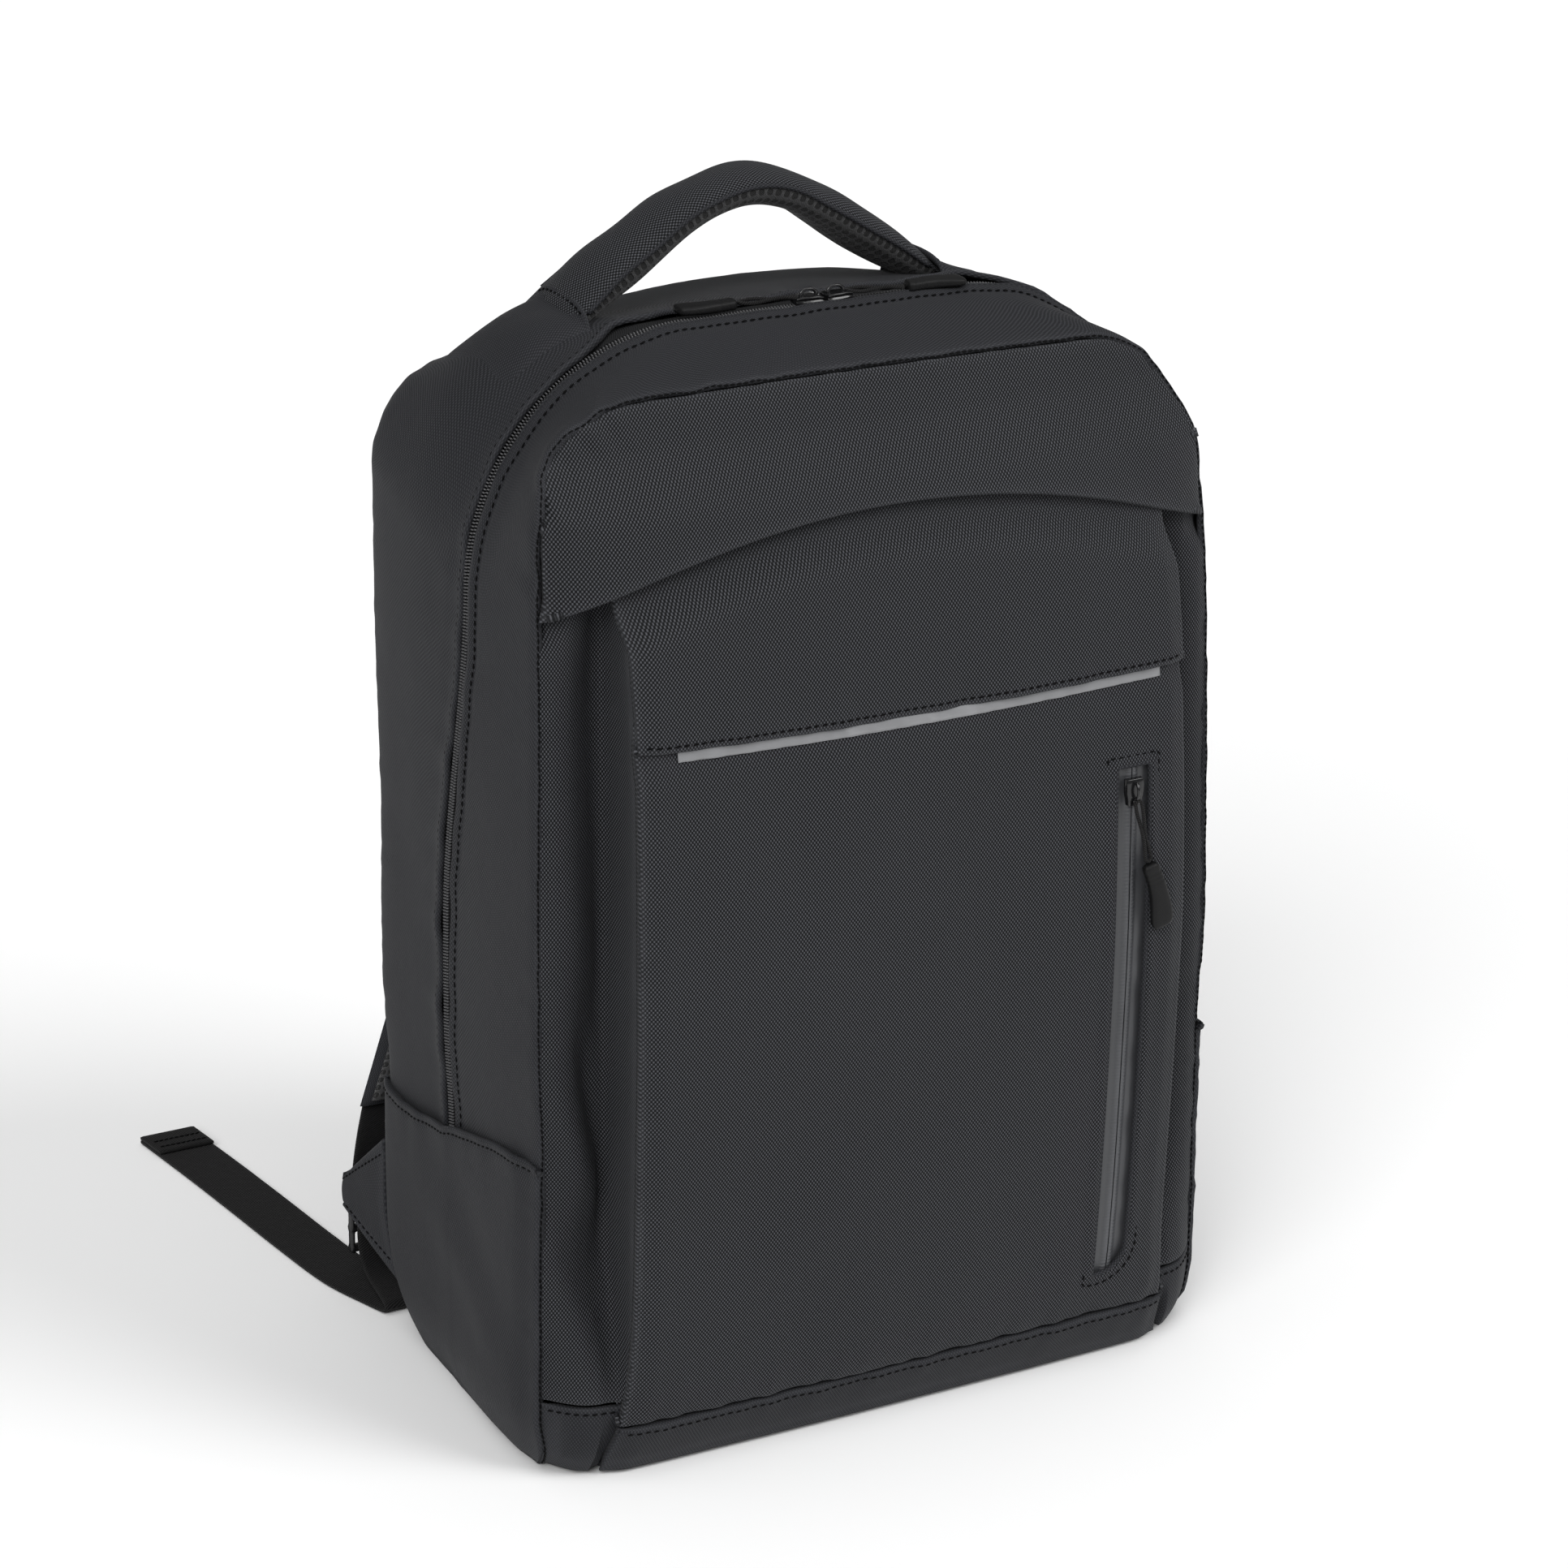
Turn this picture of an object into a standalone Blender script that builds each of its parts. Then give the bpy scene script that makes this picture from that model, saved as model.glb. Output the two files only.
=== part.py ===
# Laptop backpack standing on its base: padded cloth walls, zips, front pocket,
# carry handle and two shoulder straps. Metres, +Z up, the front faces -Y.
import math

import bpy
import bmesh
import numpy as np
from mathutils import Matrix

# Main sizes
BAG_WIDTH = 0.300
BAG_DEPTH = 0.152
BAG_HEIGHT = 0.434
CLOTH = 0.0022
GAP = 0.0003
SEAM_EASE = 0.0006
LAYER = CLOTH + GAP
HEM_TUCK = 0.009

# How the foot of the bag rounds in
FOOT_ROUND = 0.030
FOOT_TUCK = 0.035
REAR_ROUND = 0.050
REAR_TUCK = 0.33
FRONT_ROUND = 0.014
FRONT_TUCK = 0.12

# Top of the front leans back, and its right shoulder sags in
LEAN = 0.010
SHOULDER_SAG = 0.048
SHOULDER_Z = 0.360

# Yoke across the top of the front
YOKE_MIDDLE = 0.375
YOKE_END = 0.345
YOKE_PUFF = 0.016
YOKE_REACH = 0.47 * BAG_WIDTH
YOKE_SHOULDER = 0.76

# Front pocket
POCKET_SPLIT = 0.3010
POCKET_DOME = 0.002
POCKET_EDGE_ROLL = 0.003
BAND_HEIGHT = 0.024
SIDE_BAND_HEIGHT = 0.033
FOOT_LIFT = 0.0018
PLEAT_EASE = 0.0018
STRIP_LEFT = -0.101
STRIP_RIGHT = 0.104
STRIP_HEIGHT = 0.0036
STRIP_THICK = 0.0008

# Pocket zip, upright on the right of the pocket
POCKET_ZIP_X = 0.0910
POCKET_ZIP_WIDTH = 0.015
POCKET_ZIP_LOW = 0.0445
POCKET_ZIP_HIGH = 0.2625
POCKET_TAPE_HEM = 0.004
POCKET_TAPE_DROP = 0.0012
WINDOW_REACH = 0.05

# Main zip
TAPE_THICK = 0.0010
TAPE_SINK = 0.0016
TAPE_TUCK = 0.045
COIL_RADIUS = 0.0016
CHAIN_PLACE = 0.50
REAR_EDGE_PLACE = 0.43
FRONT_EDGE_PLACE = 0.53
SLIDER_LENGTH = 0.011
SLIDER_WIDTH = 0.0075
SLIDER_HEIGHT = 0.0028
BRIDGE_HEIGHT = 0.0016
CORD_RADIUS = 0.0009
CORD_SPREAD = 0.0013
GRIP_LENGTH = 0.028
MAIN_GRIP_LENGTH = 0.024
GRIP_WIDTH = 0.0095
GRIP_THICK = 0.0040
POCKET_SLIDER_Z = 0.2520

# Side pockets
HEM_REAR = 0.107
HEM_FRONT = 0.132
SIDE_POCKET_REAR = 0.020
SIDE_POCKET_FRONT = 0.994

# Back panel and base
BACK_PAD = 0.009
BACK_PUFF = 0.005
BASE_THICK = 0.0025

# Carry handle
HANDLE_Y = 0.022
HANDLE_MESH_SHARE = 0.36

# Shoulder straps
STRAP_THICK = 0.011
STRAP_MESH_THICK = 0.002
WEB_WIDTH = 0.025
WEB_THICK = 0.0015
LOCK_WIDTH = 0.030
LOCK_HEIGHT = 0.022
LOCK_THICK = 0.0045
LOCK_BAR = 0.0035
LOCK_PLACE = (0.131, 0.1085, 0.0210)
WING_THICK = 0.0022

# Lines that run up one side, over the top and down the other, as shares of the bag's
# depth, half width, height, width and height.
# place, foot depth, crown depth, foot width, crown width, top, corner, shoulder drop
LINES = (
    (0.00, 0.474, 0.474, 0.960, 0.950, 0.956, 0.085, 0.045),
    (0.12, 0.400, 0.400, 0.985, 0.990, 0.976, 0.095, 0.066),
    (0.30, 0.220, 0.170, 0.992, 0.992, 0.990, 0.180, 0.044),
    (0.43, 0.085, -0.040, 0.994, 0.978, 0.999, 0.280, 0.011),
    (0.50, 0.000, -0.132, 0.998, 0.972, 1.000, 0.300, 0.005),
    (0.54, -0.028, -0.158, 0.998, 0.972, 1.000, 0.300, 0.005),
    (0.75, -0.260, -0.270, 1.004, 0.960, 0.993, 0.275, 0.006),
    (1.00, -0.513, -0.468, 1.000, 0.940, 0.972, 0.150, 0.006),
)

# Front pocket: height as a share of the yoke's height, half width and depth as shares
# of the bag's half width and depth.
POCKET = (
    (0.000, 0.840, 0.585),
    (0.064, 0.812, 0.655),
    (0.160, 0.790, 0.688),
    (0.360, 0.788, 0.711),
    (0.560, 0.786, 0.715),
    (0.797, 0.775, 0.680),
    (0.940, 0.775, 0.610),
    (1.000, 0.775, 0.570),
)

# Cloth between the front seam and the pocket's edge: shares of the way across, and of
# the way out from the seam to the pocket's face.
# across in the fold, across at the foot, out in the fold, out at the foot
PLEAT = (
    (0.00, 0.00, 0.00, 0.00),
    (0.22, 0.22, 0.08, 0.30),
    (0.45, 0.44, 0.08, 0.55),
    (0.68, 0.64, 0.00, 0.68),
    (0.90, 0.82, -0.10, 0.74),
    (1.04, 0.93, -0.02, 0.77),
    (1.10, 1.00, 0.35, 0.79),
    (1.06, 1.06, 0.72, 0.80),
)

# Carry handle's centre line, with half its width and half its thickness.
# x, height over the bag's top, half width, half thickness
HANDLE = (
    (-0.0915, -0.0060, 0.0220, 0.0035),
    (-0.0830, 0.0010, 0.0205, 0.0062),
    (-0.0660, 0.0125, 0.0180, 0.0084),
    (-0.0430, 0.0270, 0.0160, 0.0082),
    (-0.0240, 0.0350, 0.0142, 0.0077),
    (-0.0090, 0.0366, 0.0138, 0.0072),
    (0.0060, 0.0328, 0.0142, 0.0075),
    (0.0200, 0.0250, 0.0155, 0.0080),
    (0.0360, 0.0148, 0.0170, 0.0082),
    (0.0520, 0.0045, 0.0185, 0.0074),
    (0.0660, -0.0030, 0.0195, 0.0050),
)

# Shoulder strap from the top of the back down to its end: distance from the middle,
# depth behind the back seam, height, half width.
STRAP = (
    (0.0500, 0.0056, 0.4060, 0.0330),
    (0.0500, 0.0220, 0.3860, 0.0330),
    (0.0505, 0.0450, 0.3450, 0.0330),
    (0.0520, 0.0570, 0.3000, 0.0320),
    (0.0560, 0.0610, 0.2500, 0.0310),
    (0.0650, 0.0580, 0.2000, 0.0290),
    (0.0800, 0.0500, 0.1550, 0.0270),
    (0.0990, 0.0410, 0.1150, 0.0250),
    (0.1210, 0.0320, 0.0780, 0.0205),
)

# Webbing from under the strap's end down to the adjuster: x, y, z
LINK_WEB = (
    (0.1272, 0.1062, 0.0768),
    (0.1295, 0.1070, 0.0640),
    (0.1305, 0.1100, 0.0480),
    (0.1310, 0.1110, 0.0330),
)

# Webbing from the wing's tip through the adjuster, folded on the floor and out to its
# free end: x, y, z
TAIL_WEB = (
    (0.1310, 0.1035, 0.0420),
    (0.1310, 0.1045, 0.0300),
    (0.1312, 0.1050, 0.0180),
    (0.1316, 0.1010, 0.0090),
    (0.1325, 0.0920, 0.0052),
    (0.1335, 0.0800, 0.0042),
    (0.1345, 0.0705, 0.0036),
    (0.1350, 0.0685, 0.0024),
    (0.1356, 0.0705, 0.0012),
    (0.1390, 0.0800, 0.0010),
    (0.1470, 0.1050, 0.0010),
    (0.1525, 0.1420, 0.0010),
    (0.1570, 0.1800, 0.0010),
    (0.1620, 0.2200, 0.0010),
    (0.1680, 0.2625, 0.0010),
)

# Wing patch from the back seam to its tip beside the webbing: how far it stands
# behind the seam, z, share of the way out to the tip
WING = (
    (0.0000, 0.0780, 0.0),
    (0.0180, 0.0620, 0.45),
    (0.0345, 0.0470, 1.0),
    (0.0370, 0.0400, 1.0),
    (0.0345, 0.0330, 1.0),
    (0.0180, 0.0200, 0.45),
    (0.0000, 0.0170, 0.0),
    (0.0000, 0.0320, 0.0),
    (0.0000, 0.0520, 0.0),
)

# Rubber grip, as shares of its length, width and thickness
GRIP = (
    (0.00, 0.62, 0.80),
    (0.06, 0.72, 1.00),
    (0.45, 0.80, 1.00),
    (0.80, 1.00, 0.85),
    (0.95, 0.92, 0.75),
    (1.00, 0.60, 0.50),
)

parts = None
cutters = None


def clear_scene():
    for item in list(bpy.data.objects):
        bpy.data.objects.remove(item, do_unlink=True)


def new_collection(name):
    found = bpy.data.collections.new(name)
    bpy.context.scene.collection.children.link(found)
    return found


def make_material(name, colour, roughness, metallic=0.0):
    found = bpy.data.materials.get(name)
    if found:
        return found
    found = bpy.data.materials.new(name)
    found.use_nodes = True
    shader = found.node_tree.nodes["Principled BSDF"]
    shader.inputs["Base Color"].default_value = (*colour, 1.0)
    shader.inputs["Roughness"].default_value = roughness
    shader.inputs["Metallic"].default_value = metallic
    return found


FINISHES = {
    "canvas": ((0.042, 0.043, 0.046), 0.75, 0.0),
    "mesh": ((0.012, 0.012, 0.013), 0.85, 0.0),
    "webbing": ((0.020, 0.019, 0.019), 0.85, 0.0),
    "zip_tape": ((0.010, 0.010, 0.011), 0.70, 0.0),
    "coated_tape": ((0.060, 0.062, 0.066), 0.40, 0.0),
    "coil": ((0.010, 0.010, 0.010), 0.35, 0.0),
    "slider": ((0.010, 0.010, 0.011), 0.25, 0.7),
    "rubber": ((0.014, 0.014, 0.014), 0.55, 0.0),
    "plastic": ((0.012, 0.012, 0.012), 0.40, 0.0),
    "reflective": ((0.280, 0.285, 0.300), 0.40, 0.2),
}


def smooth(low, high, value):
    share = min(max((value - low) / (high - low), 0.0), 1.0)
    return share * share * (3.0 - 2.0 * share)


def mix(first, second, share):
    return first + (second - first) * share


def follow(rows, place):
    """All columns of a table at one place of its first column, on a smooth curve."""
    rows = np.asarray(rows, float)
    keys = rows[:, 0]
    k = int(np.clip(np.searchsorted(keys, place) - 1, 0, len(keys) - 2))
    span = keys[k + 1] - keys[k]
    t = min(max((place - keys[k]) / span, 0.0), 1.0)
    before, after = max(k - 1, 0), min(k + 2, len(keys) - 1)
    slope_0 = (rows[k + 1] - rows[before]) / (keys[k + 1] - keys[before]) * span
    slope_1 = (rows[after] - rows[k]) / (keys[after] - keys[k]) * span
    return (
        (2 * t**3 - 3 * t**2 + 1) * rows[k]
        + (t**3 - 2 * t**2 + t) * slope_0
        + (-2 * t**3 + 3 * t**2) * rows[k + 1]
        + (t**3 - t**2) * slope_1
    )


def path_through(points, steps):
    """Points on a smooth curve through the given ones, steps to each stretch."""
    rows = [(i, *point) for i, point in enumerate(points)]
    count = (len(points) - 1) * steps
    return [follow(rows, i / steps)[1:] for i in range(count + 1)]


# Form of the bag's walls
SIDE_SHARE = 0.56
CORNER_SHARE = 0.80


def hem_height(place):
    return mix(HEM_REAR, HEM_FRONT, smooth(0.15, 1.0, place))


def wall_shape(place):
    row = follow(LINES, place)
    return {
        "foot_depth": row[1] * BAG_DEPTH,
        "crown_depth": row[2] * BAG_DEPTH,
        "half_foot": row[3] * BAG_WIDTH / 2,
        "half_crown": row[4] * BAG_WIDTH / 2,
        "top": row[5] * BAG_HEIGHT,
        "corner": row[6] * BAG_WIDTH,
        "drop": row[7] * BAG_HEIGHT,
    }


def depth_at(shape, place, z):
    """How far back the line lies at height z."""
    y = mix(shape["foot_depth"], shape["crown_depth"],
            smooth(0.46 * BAG_HEIGHT, 0.80 * BAG_HEIGHT, z))
    if place > CHAIN_PLACE:
        lean = (place - CHAIN_PLACE) / (1.0 - CHAIN_PLACE)
        y += LEAN * lean * smooth(0.87 * BAG_HEIGHT, 0.93 * BAG_HEIGHT, z)
    if y > 0:
        return y * (1.0 - REAR_TUCK * max(0.0, 1.0 - z / REAR_ROUND) ** 2)
    return y * (1.0 - FRONT_TUCK * max(0.0, 1.0 - z / FRONT_ROUND) ** 2)


def wall_point(place, rise, side, inset=0.0, recess=True):
    """A point of the wall: place from back seam to front seam, rise from foot to crown."""
    shape = wall_shape(place)
    half = shape["half_foot"] - inset
    top = shape["top"] - inset
    corner = shape["corner"] - inset
    if rise < SIDE_SHARE:
        x, z = half, GAP + rise / SIDE_SHARE * (top - corner - GAP)
    elif rise < CORNER_SHARE:
        turn = (rise - SIDE_SHARE) / (CORNER_SHARE - SIDE_SHARE) * math.pi / 2
        x = half - corner + corner * math.cos(turn)
        z = top - corner + corner * math.sin(turn)
    else:
        x = (half - corner) * (1.0 - (rise - CORNER_SHARE) / (1.0 - CORNER_SHARE))
        z = top
    narrow = shape["half_crown"] / shape["half_foot"]
    x *= mix(1.0, narrow, (z / BAG_HEIGHT) ** 1.5)
    z -= shape["drop"] * (x / half) ** 2 * smooth(0.55 * BAG_HEIGHT, 0.90 * BAG_HEIGHT, z)
    x *= 1.0 - FOOT_TUCK * max(0.0, 1.0 - z / FOOT_ROUND) ** 2
    if side > 0 and place > CHAIN_PLACE:
        lean = (place - CHAIN_PLACE) / (1.0 - CHAIN_PLACE)
        x *= 1.0 - SHOULDER_SAG * lean * smooth(0.73 * BAG_HEIGHT, 0.94 * BAG_HEIGHT, z)
    if recess:
        hem = hem_height(place)
        x -= (LAYER + 2 * GAP) * (1.0 - smooth(hem + 0.004, hem + 0.032, z))
    return np.array((side * x, depth_at(shape, place, z), z))


def side_point(place, height, side, inset=0.0, recess=True):
    """A point on the wall's upright stretch at a given height."""
    shape = wall_shape(place)
    reach = shape["top"] - shape["corner"] - GAP
    return wall_point(place, SIDE_SHARE * (height - GAP) / reach, side, inset, recess)


def top_height(x, y):
    """Height of the bag's top over a point."""
    places = np.linspace(0.0, 1.0, 41)
    depths = [wall_shape(p)["crown_depth"] for p in places]
    place = float(np.interp(-y, [-d for d in depths], places))
    shape = wall_shape(place)
    half = shape["half_foot"] * mix(1.0, shape["half_crown"] / shape["half_foot"], 0.97)
    run = max(0.0, abs(x) - (half - shape["corner"]))
    z = shape["top"] - shape["corner"] + math.sqrt(max(shape["corner"] ** 2 - run**2, 0.0))
    return z - shape["drop"] * (x / half) ** 2


# Forms of the front
def seam_depth(z):
    """How far forward the front seam lies at height z, as a positive number."""
    return -depth_at(wall_shape(1.0), 1.0, z)


def seam_half(z, side):
    """Half width inside the front seam's edge at height z."""
    return side * side_point(1.0, min(z, SHOULDER_Z), side, inset=LAYER + SEAM_EASE)[0]


def yoke_edge(x):
    return YOKE_MIDDLE - (YOKE_MIDDLE - YOKE_END) * (x / YOKE_REACH) ** 2


def yoke_puff(across, rise):
    """Across from the middle to the side seam, rise from the lower edge to the top seam."""
    return YOKE_PUFF * (1.0 - min(abs(across), 1.0) ** 8) * (1.0 - min(max(rise, 0.0), 1.0)) ** 0.8


def yoke_depth(x, z):
    edge = yoke_edge(x)
    rise = (z - edge) / (0.970 * BAG_HEIGHT - edge)
    return seam_depth(z) + yoke_puff(x / YOKE_REACH, rise)


def pocket_half(z):
    return follow(POCKET, z / YOKE_MIDDLE)[1] * BAG_WIDTH / 2


def pocket_depth(z):
    return follow(POCKET, z / YOKE_MIDDLE)[2] * BAG_DEPTH


def under_yoke(x, z):
    above = max(z - yoke_edge(x), 0.0)
    return yoke_depth(x, z) - LAYER - GAP - 0.15 * above


def pocket_face(x, z):
    across = min(abs(x) / pocket_half(z), 1.0)
    face = pocket_depth(z) + POCKET_DOME * (1.0 - across**2)
    face -= POCKET_EDGE_ROLL * smooth(0.92, 1.0, across)
    return mix(face, under_yoke(x, z), smooth(yoke_edge(x) - 0.022, yoke_edge(x) - 0.001, z))


def pocket_panel_face(x, z):
    """The lower panel slips under the upper one at the split."""
    return pocket_face(x, z) - LAYER * smooth(POCKET_SPLIT - 0.016, POCKET_SPLIT - 0.002, z)


def pleat_point(row, z, side):
    """The cloth folds in beside the pocket and goes under the yoke at the top."""
    folded = smooth(0.010, 0.100, z)
    across, out = mix(row[1], row[0], folded), mix(row[3], row[2], folded)
    near, far = seam_half(z, side), pocket_half(z)
    x = near + (far - near) * across
    depth = seam_depth(z) + out * (pocket_depth(z) - seam_depth(z))
    edge = yoke_edge(x)
    tucked = min(depth, under_yoke(x, z) - LAYER)
    depth = mix(depth, tucked, smooth(edge - 0.014, edge - 0.003, z))
    if across > 0.8:
        depth = min(depth, pocket_face(far, z) - LAYER - PLEAT_EASE)
    return np.array((side * x, -depth, z))


# Builders
def add_mesh(name, points, faces, finish, thick=0.0, collection=None):
    mesh = bpy.data.meshes.new(name)
    mesh.from_pydata([tuple(float(v) for v in p) for p in points], [], faces)
    mesh.update()
    item = bpy.data.objects.new(name, mesh)
    (collection or parts).objects.link(item)
    if finish:
        colour, roughness, metallic = FINISHES[finish]
        mesh.materials.append(make_material(finish, colour, roughness, metallic))
        mesh.shade_smooth()
    if thick:
        wall = item.modifiers.new("wall", "SOLIDIFY")
        wall.thickness = thick
        wall.offset = -1.0
        wall.use_even_offset = True
    return item


def grid_sheet(name, rows, finish, thick, flip=False):
    """A sheet through rows of points, given its thickness on the inner side."""
    across = len(rows[0])
    points = [p for row in rows for p in row]
    faces = []
    for i in range(len(rows) - 1):
        for j in range(across - 1):
            a = i * across + j
            face = (a, a + 1, a + across + 1, a + across)
            faces.append(face[::-1] if flip else face)
    return add_mesh(name, points, faces, finish, thick)


def loft(name, rings, finish):
    """A closed solid through rings of points, with flat ends."""
    count = len(rings[0])
    points = [p for ring in rings for p in ring]
    faces = [tuple(range(count)), tuple(range(len(points) - 1, len(points) - 1 - count, -1))]
    for i in range(len(rings) - 1):
        for j in range(count):
            a, b = i * count + j, i * count + (j + 1) % count
            faces.append((a, a + count, b + count, b))
    item = add_mesh(name, points, faces, finish)
    shape = bmesh.new()
    shape.from_mesh(item.data)
    bmesh.ops.recalc_face_normals(shape, faces=shape.faces)
    shape.to_mesh(item.data)
    shape.free()
    return item


def tube(name, points, radius, finish, resolution=2, cyclic=False):
    curve = bpy.data.curves.new(name, "CURVE")
    curve.dimensions = "3D"
    curve.bevel_depth = radius
    curve.bevel_resolution = resolution
    curve.use_fill_caps = True
    spline = curve.splines.new("POLY")
    spline.points.add(len(points) - 1)
    for knot, point in zip(spline.points, points):
        knot.co = (*[float(v) for v in point], 1.0)
    spline.use_cyclic_u = cyclic
    colour, roughness, metallic = FINISHES[finish]
    curve.materials.append(make_material(finish, colour, roughness, metallic))
    item = bpy.data.objects.new(name, curve)
    parts.objects.link(item)
    return item


def block(name, size, centre, finish, bevel=0.0, collection=None, turn=None):
    shape = bmesh.new()
    bmesh.ops.create_cube(shape, size=1.0)
    bmesh.ops.scale(shape, vec=size, verts=shape.verts)
    mesh = bpy.data.meshes.new(name)
    shape.to_mesh(mesh)
    shape.free()
    item = bpy.data.objects.new(name, mesh)
    (collection or parts).objects.link(item)
    item.location = centre
    if turn:
        item.rotation_euler = turn
    if finish:
        colour, roughness, metallic = FINISHES[finish]
        mesh.materials.append(make_material(finish, colour, roughness, metallic))
    if bevel:
        edge = item.modifiers.new("edge", "BEVEL")
        edge.width = bevel
        edge.segments = 2
    return item


def as_cutter(item):
    item.hide_render = True
    item.display_type = "WIRE"
    return item


def cut(item, cutter):
    hole = item.modifiers.new("cut", "BOOLEAN")
    hole.operation = "DIFFERENCE"
    hole.solver = "EXACT"
    hole.object = cutter
    return item


# Pieces
SIDE_RISES = (0, 0.018, 0.042, 0.08, 0.15, 0.25, 0.30, 0.35, 0.40, 0.46, 0.57, 0.70, 0.83, 0.92)
CORNER_RISES = [mix(SIDE_SHARE, CORNER_SHARE, i / 6) for i in range(6)]
TOP_RISES = [mix(CORNER_SHARE, 1.0, i / 4) for i in range(5)]
RISES = [share * SIDE_SHARE for share in SIDE_RISES] + CORNER_RISES + TOP_RISES


def around(place, inset=0.0, recess=True):
    """One line of wall points from the left foot over the top to the right foot."""
    left = [wall_point(place, rise, -1.0, inset, recess) for rise in RISES]
    right = [wall_point(place, rise, 1.0, inset, recess) for rise in RISES[:-1]]
    return left + right[::-1]


REAR_PLACES = [REAR_EDGE_PLACE * share for share in (0.0, 0.12, 0.28, 0.5, 0.75, 1.0)]
FRONT_PLACES = [mix(FRONT_EDGE_PLACE, 1.0, share) for share in (0.0, 0.33, 0.66, 1.0)]


def make_walls():
    rear = [around(place) for place in REAR_PLACES]
    front = [around(place) for place in FRONT_PLACES]
    grid_sheet("rear_gusset", rear, "canvas", CLOTH, flip=True)
    grid_sheet("front_gusset", front, "canvas", CLOTH, flip=True)


def make_main_zip():
    sink = LAYER + TAPE_SINK
    spans = {
        "main_zip_tape_rear": (REAR_EDGE_PLACE - TAPE_TUCK, CHAIN_PLACE - 0.001),
        "main_zip_tape_front": (CHAIN_PLACE + 0.001, FRONT_EDGE_PLACE + TAPE_TUCK),
    }
    for name, span in spans.items():
        grid_sheet(name, [around(p, sink) for p in span], "zip_tape", TAPE_THICK, flip=True)
    coil = around(CHAIN_PLACE, sink - COIL_RADIUS - GAP)[1:-1]
    tube("main_zip_coil", coil, COIL_RADIUS, "coil")


def make_side_pocket(name, side):
    places = [SIDE_POCKET_REAR] + REAR_PLACES[1:] + FRONT_PLACES[:-1] + [SIDE_POCKET_FRONT]
    columns = []
    for place in places:
        low = [wall_point(place, share * SIDE_SHARE, side, recess=False)
               for share in SIDE_RISES[:5]]
        hem = hem_height(place)
        heights = [mix(low[-1][2], hem, share) for share in (0.35, 0.7, 1.0)]
        columns.append(low + [side_point(place, z, side, recess=False) for z in heights])
    grid_sheet(name, columns, "canvas", CLOTH, flip=side < 0)


def crown_columns():
    """Rises from one side's shoulder over the top to the other, with each one's side."""
    half = CORNER_RISES + TOP_RISES
    shares = [-1.0 + i / (len(half) - 1) for i in range(len(half))]
    left = [(share, rise, -1.0) for share, rise in zip(shares, half)]
    right = [(-share, rise, 1.0) for share, rise in zip(shares, half)]
    return left + right[-2::-1]


def yoke_across(share):
    """Spreads the columns along the lower edge: the shoulders take the outer fifth."""
    turn = len(CORNER_RISES) / (len(CORNER_RISES) + len(TOP_RISES) - 1)
    size = abs(share)
    if size > 1.0 - turn:
        spread = mix(YOKE_SHOULDER, 1.0, (size - 1.0 + turn) / turn)
    else:
        spread = YOKE_SHOULDER * size / (1.0 - turn)
    return math.copysign(spread, share)


def make_yoke():
    columns = []
    for share, rise, side in crown_columns():
        upper = wall_point(1.0, rise, side, inset=LAYER + SEAM_EASE)
        across = yoke_across(share)
        low_x = across * seam_half(YOKE_END, side)
        column = []
        for step in (0.0, 0.2, 0.45, 0.7, 0.88, 1.0):
            x = mix(low_x, upper[0], step)
            z = mix(yoke_edge(low_x), upper[2], step)
            column.append(np.array((x, -seam_depth(z) - yoke_puff(across, step), z)))
        columns.append(column)
    grid_sheet("yoke_panel", columns, "canvas", CLOTH, flip=True)


def pocket_rows(face, heights, count=13):
    rows = []
    for height in heights:
        row = []
        for i in range(count):
            share = math.sin((-1.0 + 2.0 * i / (count - 1)) * math.pi / 2)
            z = height(share) if callable(height) else height
            x = share * pocket_half(z)
            row.append(np.array((x, -face(x, z), z)))
        rows.append(row)
    return rows


def panel_heights():
    heights = [BAND_HEIGHT + GAP]
    heights += [mix(BAND_HEIGHT, POCKET_SPLIT - 0.016, i / 8) for i in range(1, 9)]
    return heights + [POCKET_SPLIT - 0.006, POCKET_SPLIT, POCKET_SPLIT + HEM_TUCK]


def make_pocket():
    rows = pocket_rows(pocket_panel_face, panel_heights())
    panel = grid_sheet("pocket_panel", rows, "canvas", CLOTH)
    window_size = (POCKET_ZIP_WIDTH, WINDOW_REACH, POCKET_ZIP_HIGH - POCKET_ZIP_LOW)
    middle = (POCKET_ZIP_LOW + POCKET_ZIP_HIGH) / 2
    centre = (POCKET_ZIP_X, -pocket_depth(middle), middle)
    window = as_cutter(block("pocket_window", window_size, centre, None, collection=cutters))
    cut(panel, window)

    def upper(share):
        def height(across):
            x = across * pocket_half(YOKE_END)
            return mix(POCKET_SPLIT, yoke_edge(x) + HEM_TUCK, share)
        return height

    flap = [upper(share) for share in (0.0, 0.22, 0.45, 0.64, 0.77, 0.87, 1.0)]
    grid_sheet("pocket_flap", pocket_rows(pocket_face, flap), "canvas", CLOTH)
    band = [FOOT_LIFT, BAND_HEIGHT * 0.4, BAND_HEIGHT - GAP]
    grid_sheet("front_band", pocket_rows(pocket_face, band), "canvas", CLOTH)


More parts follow.
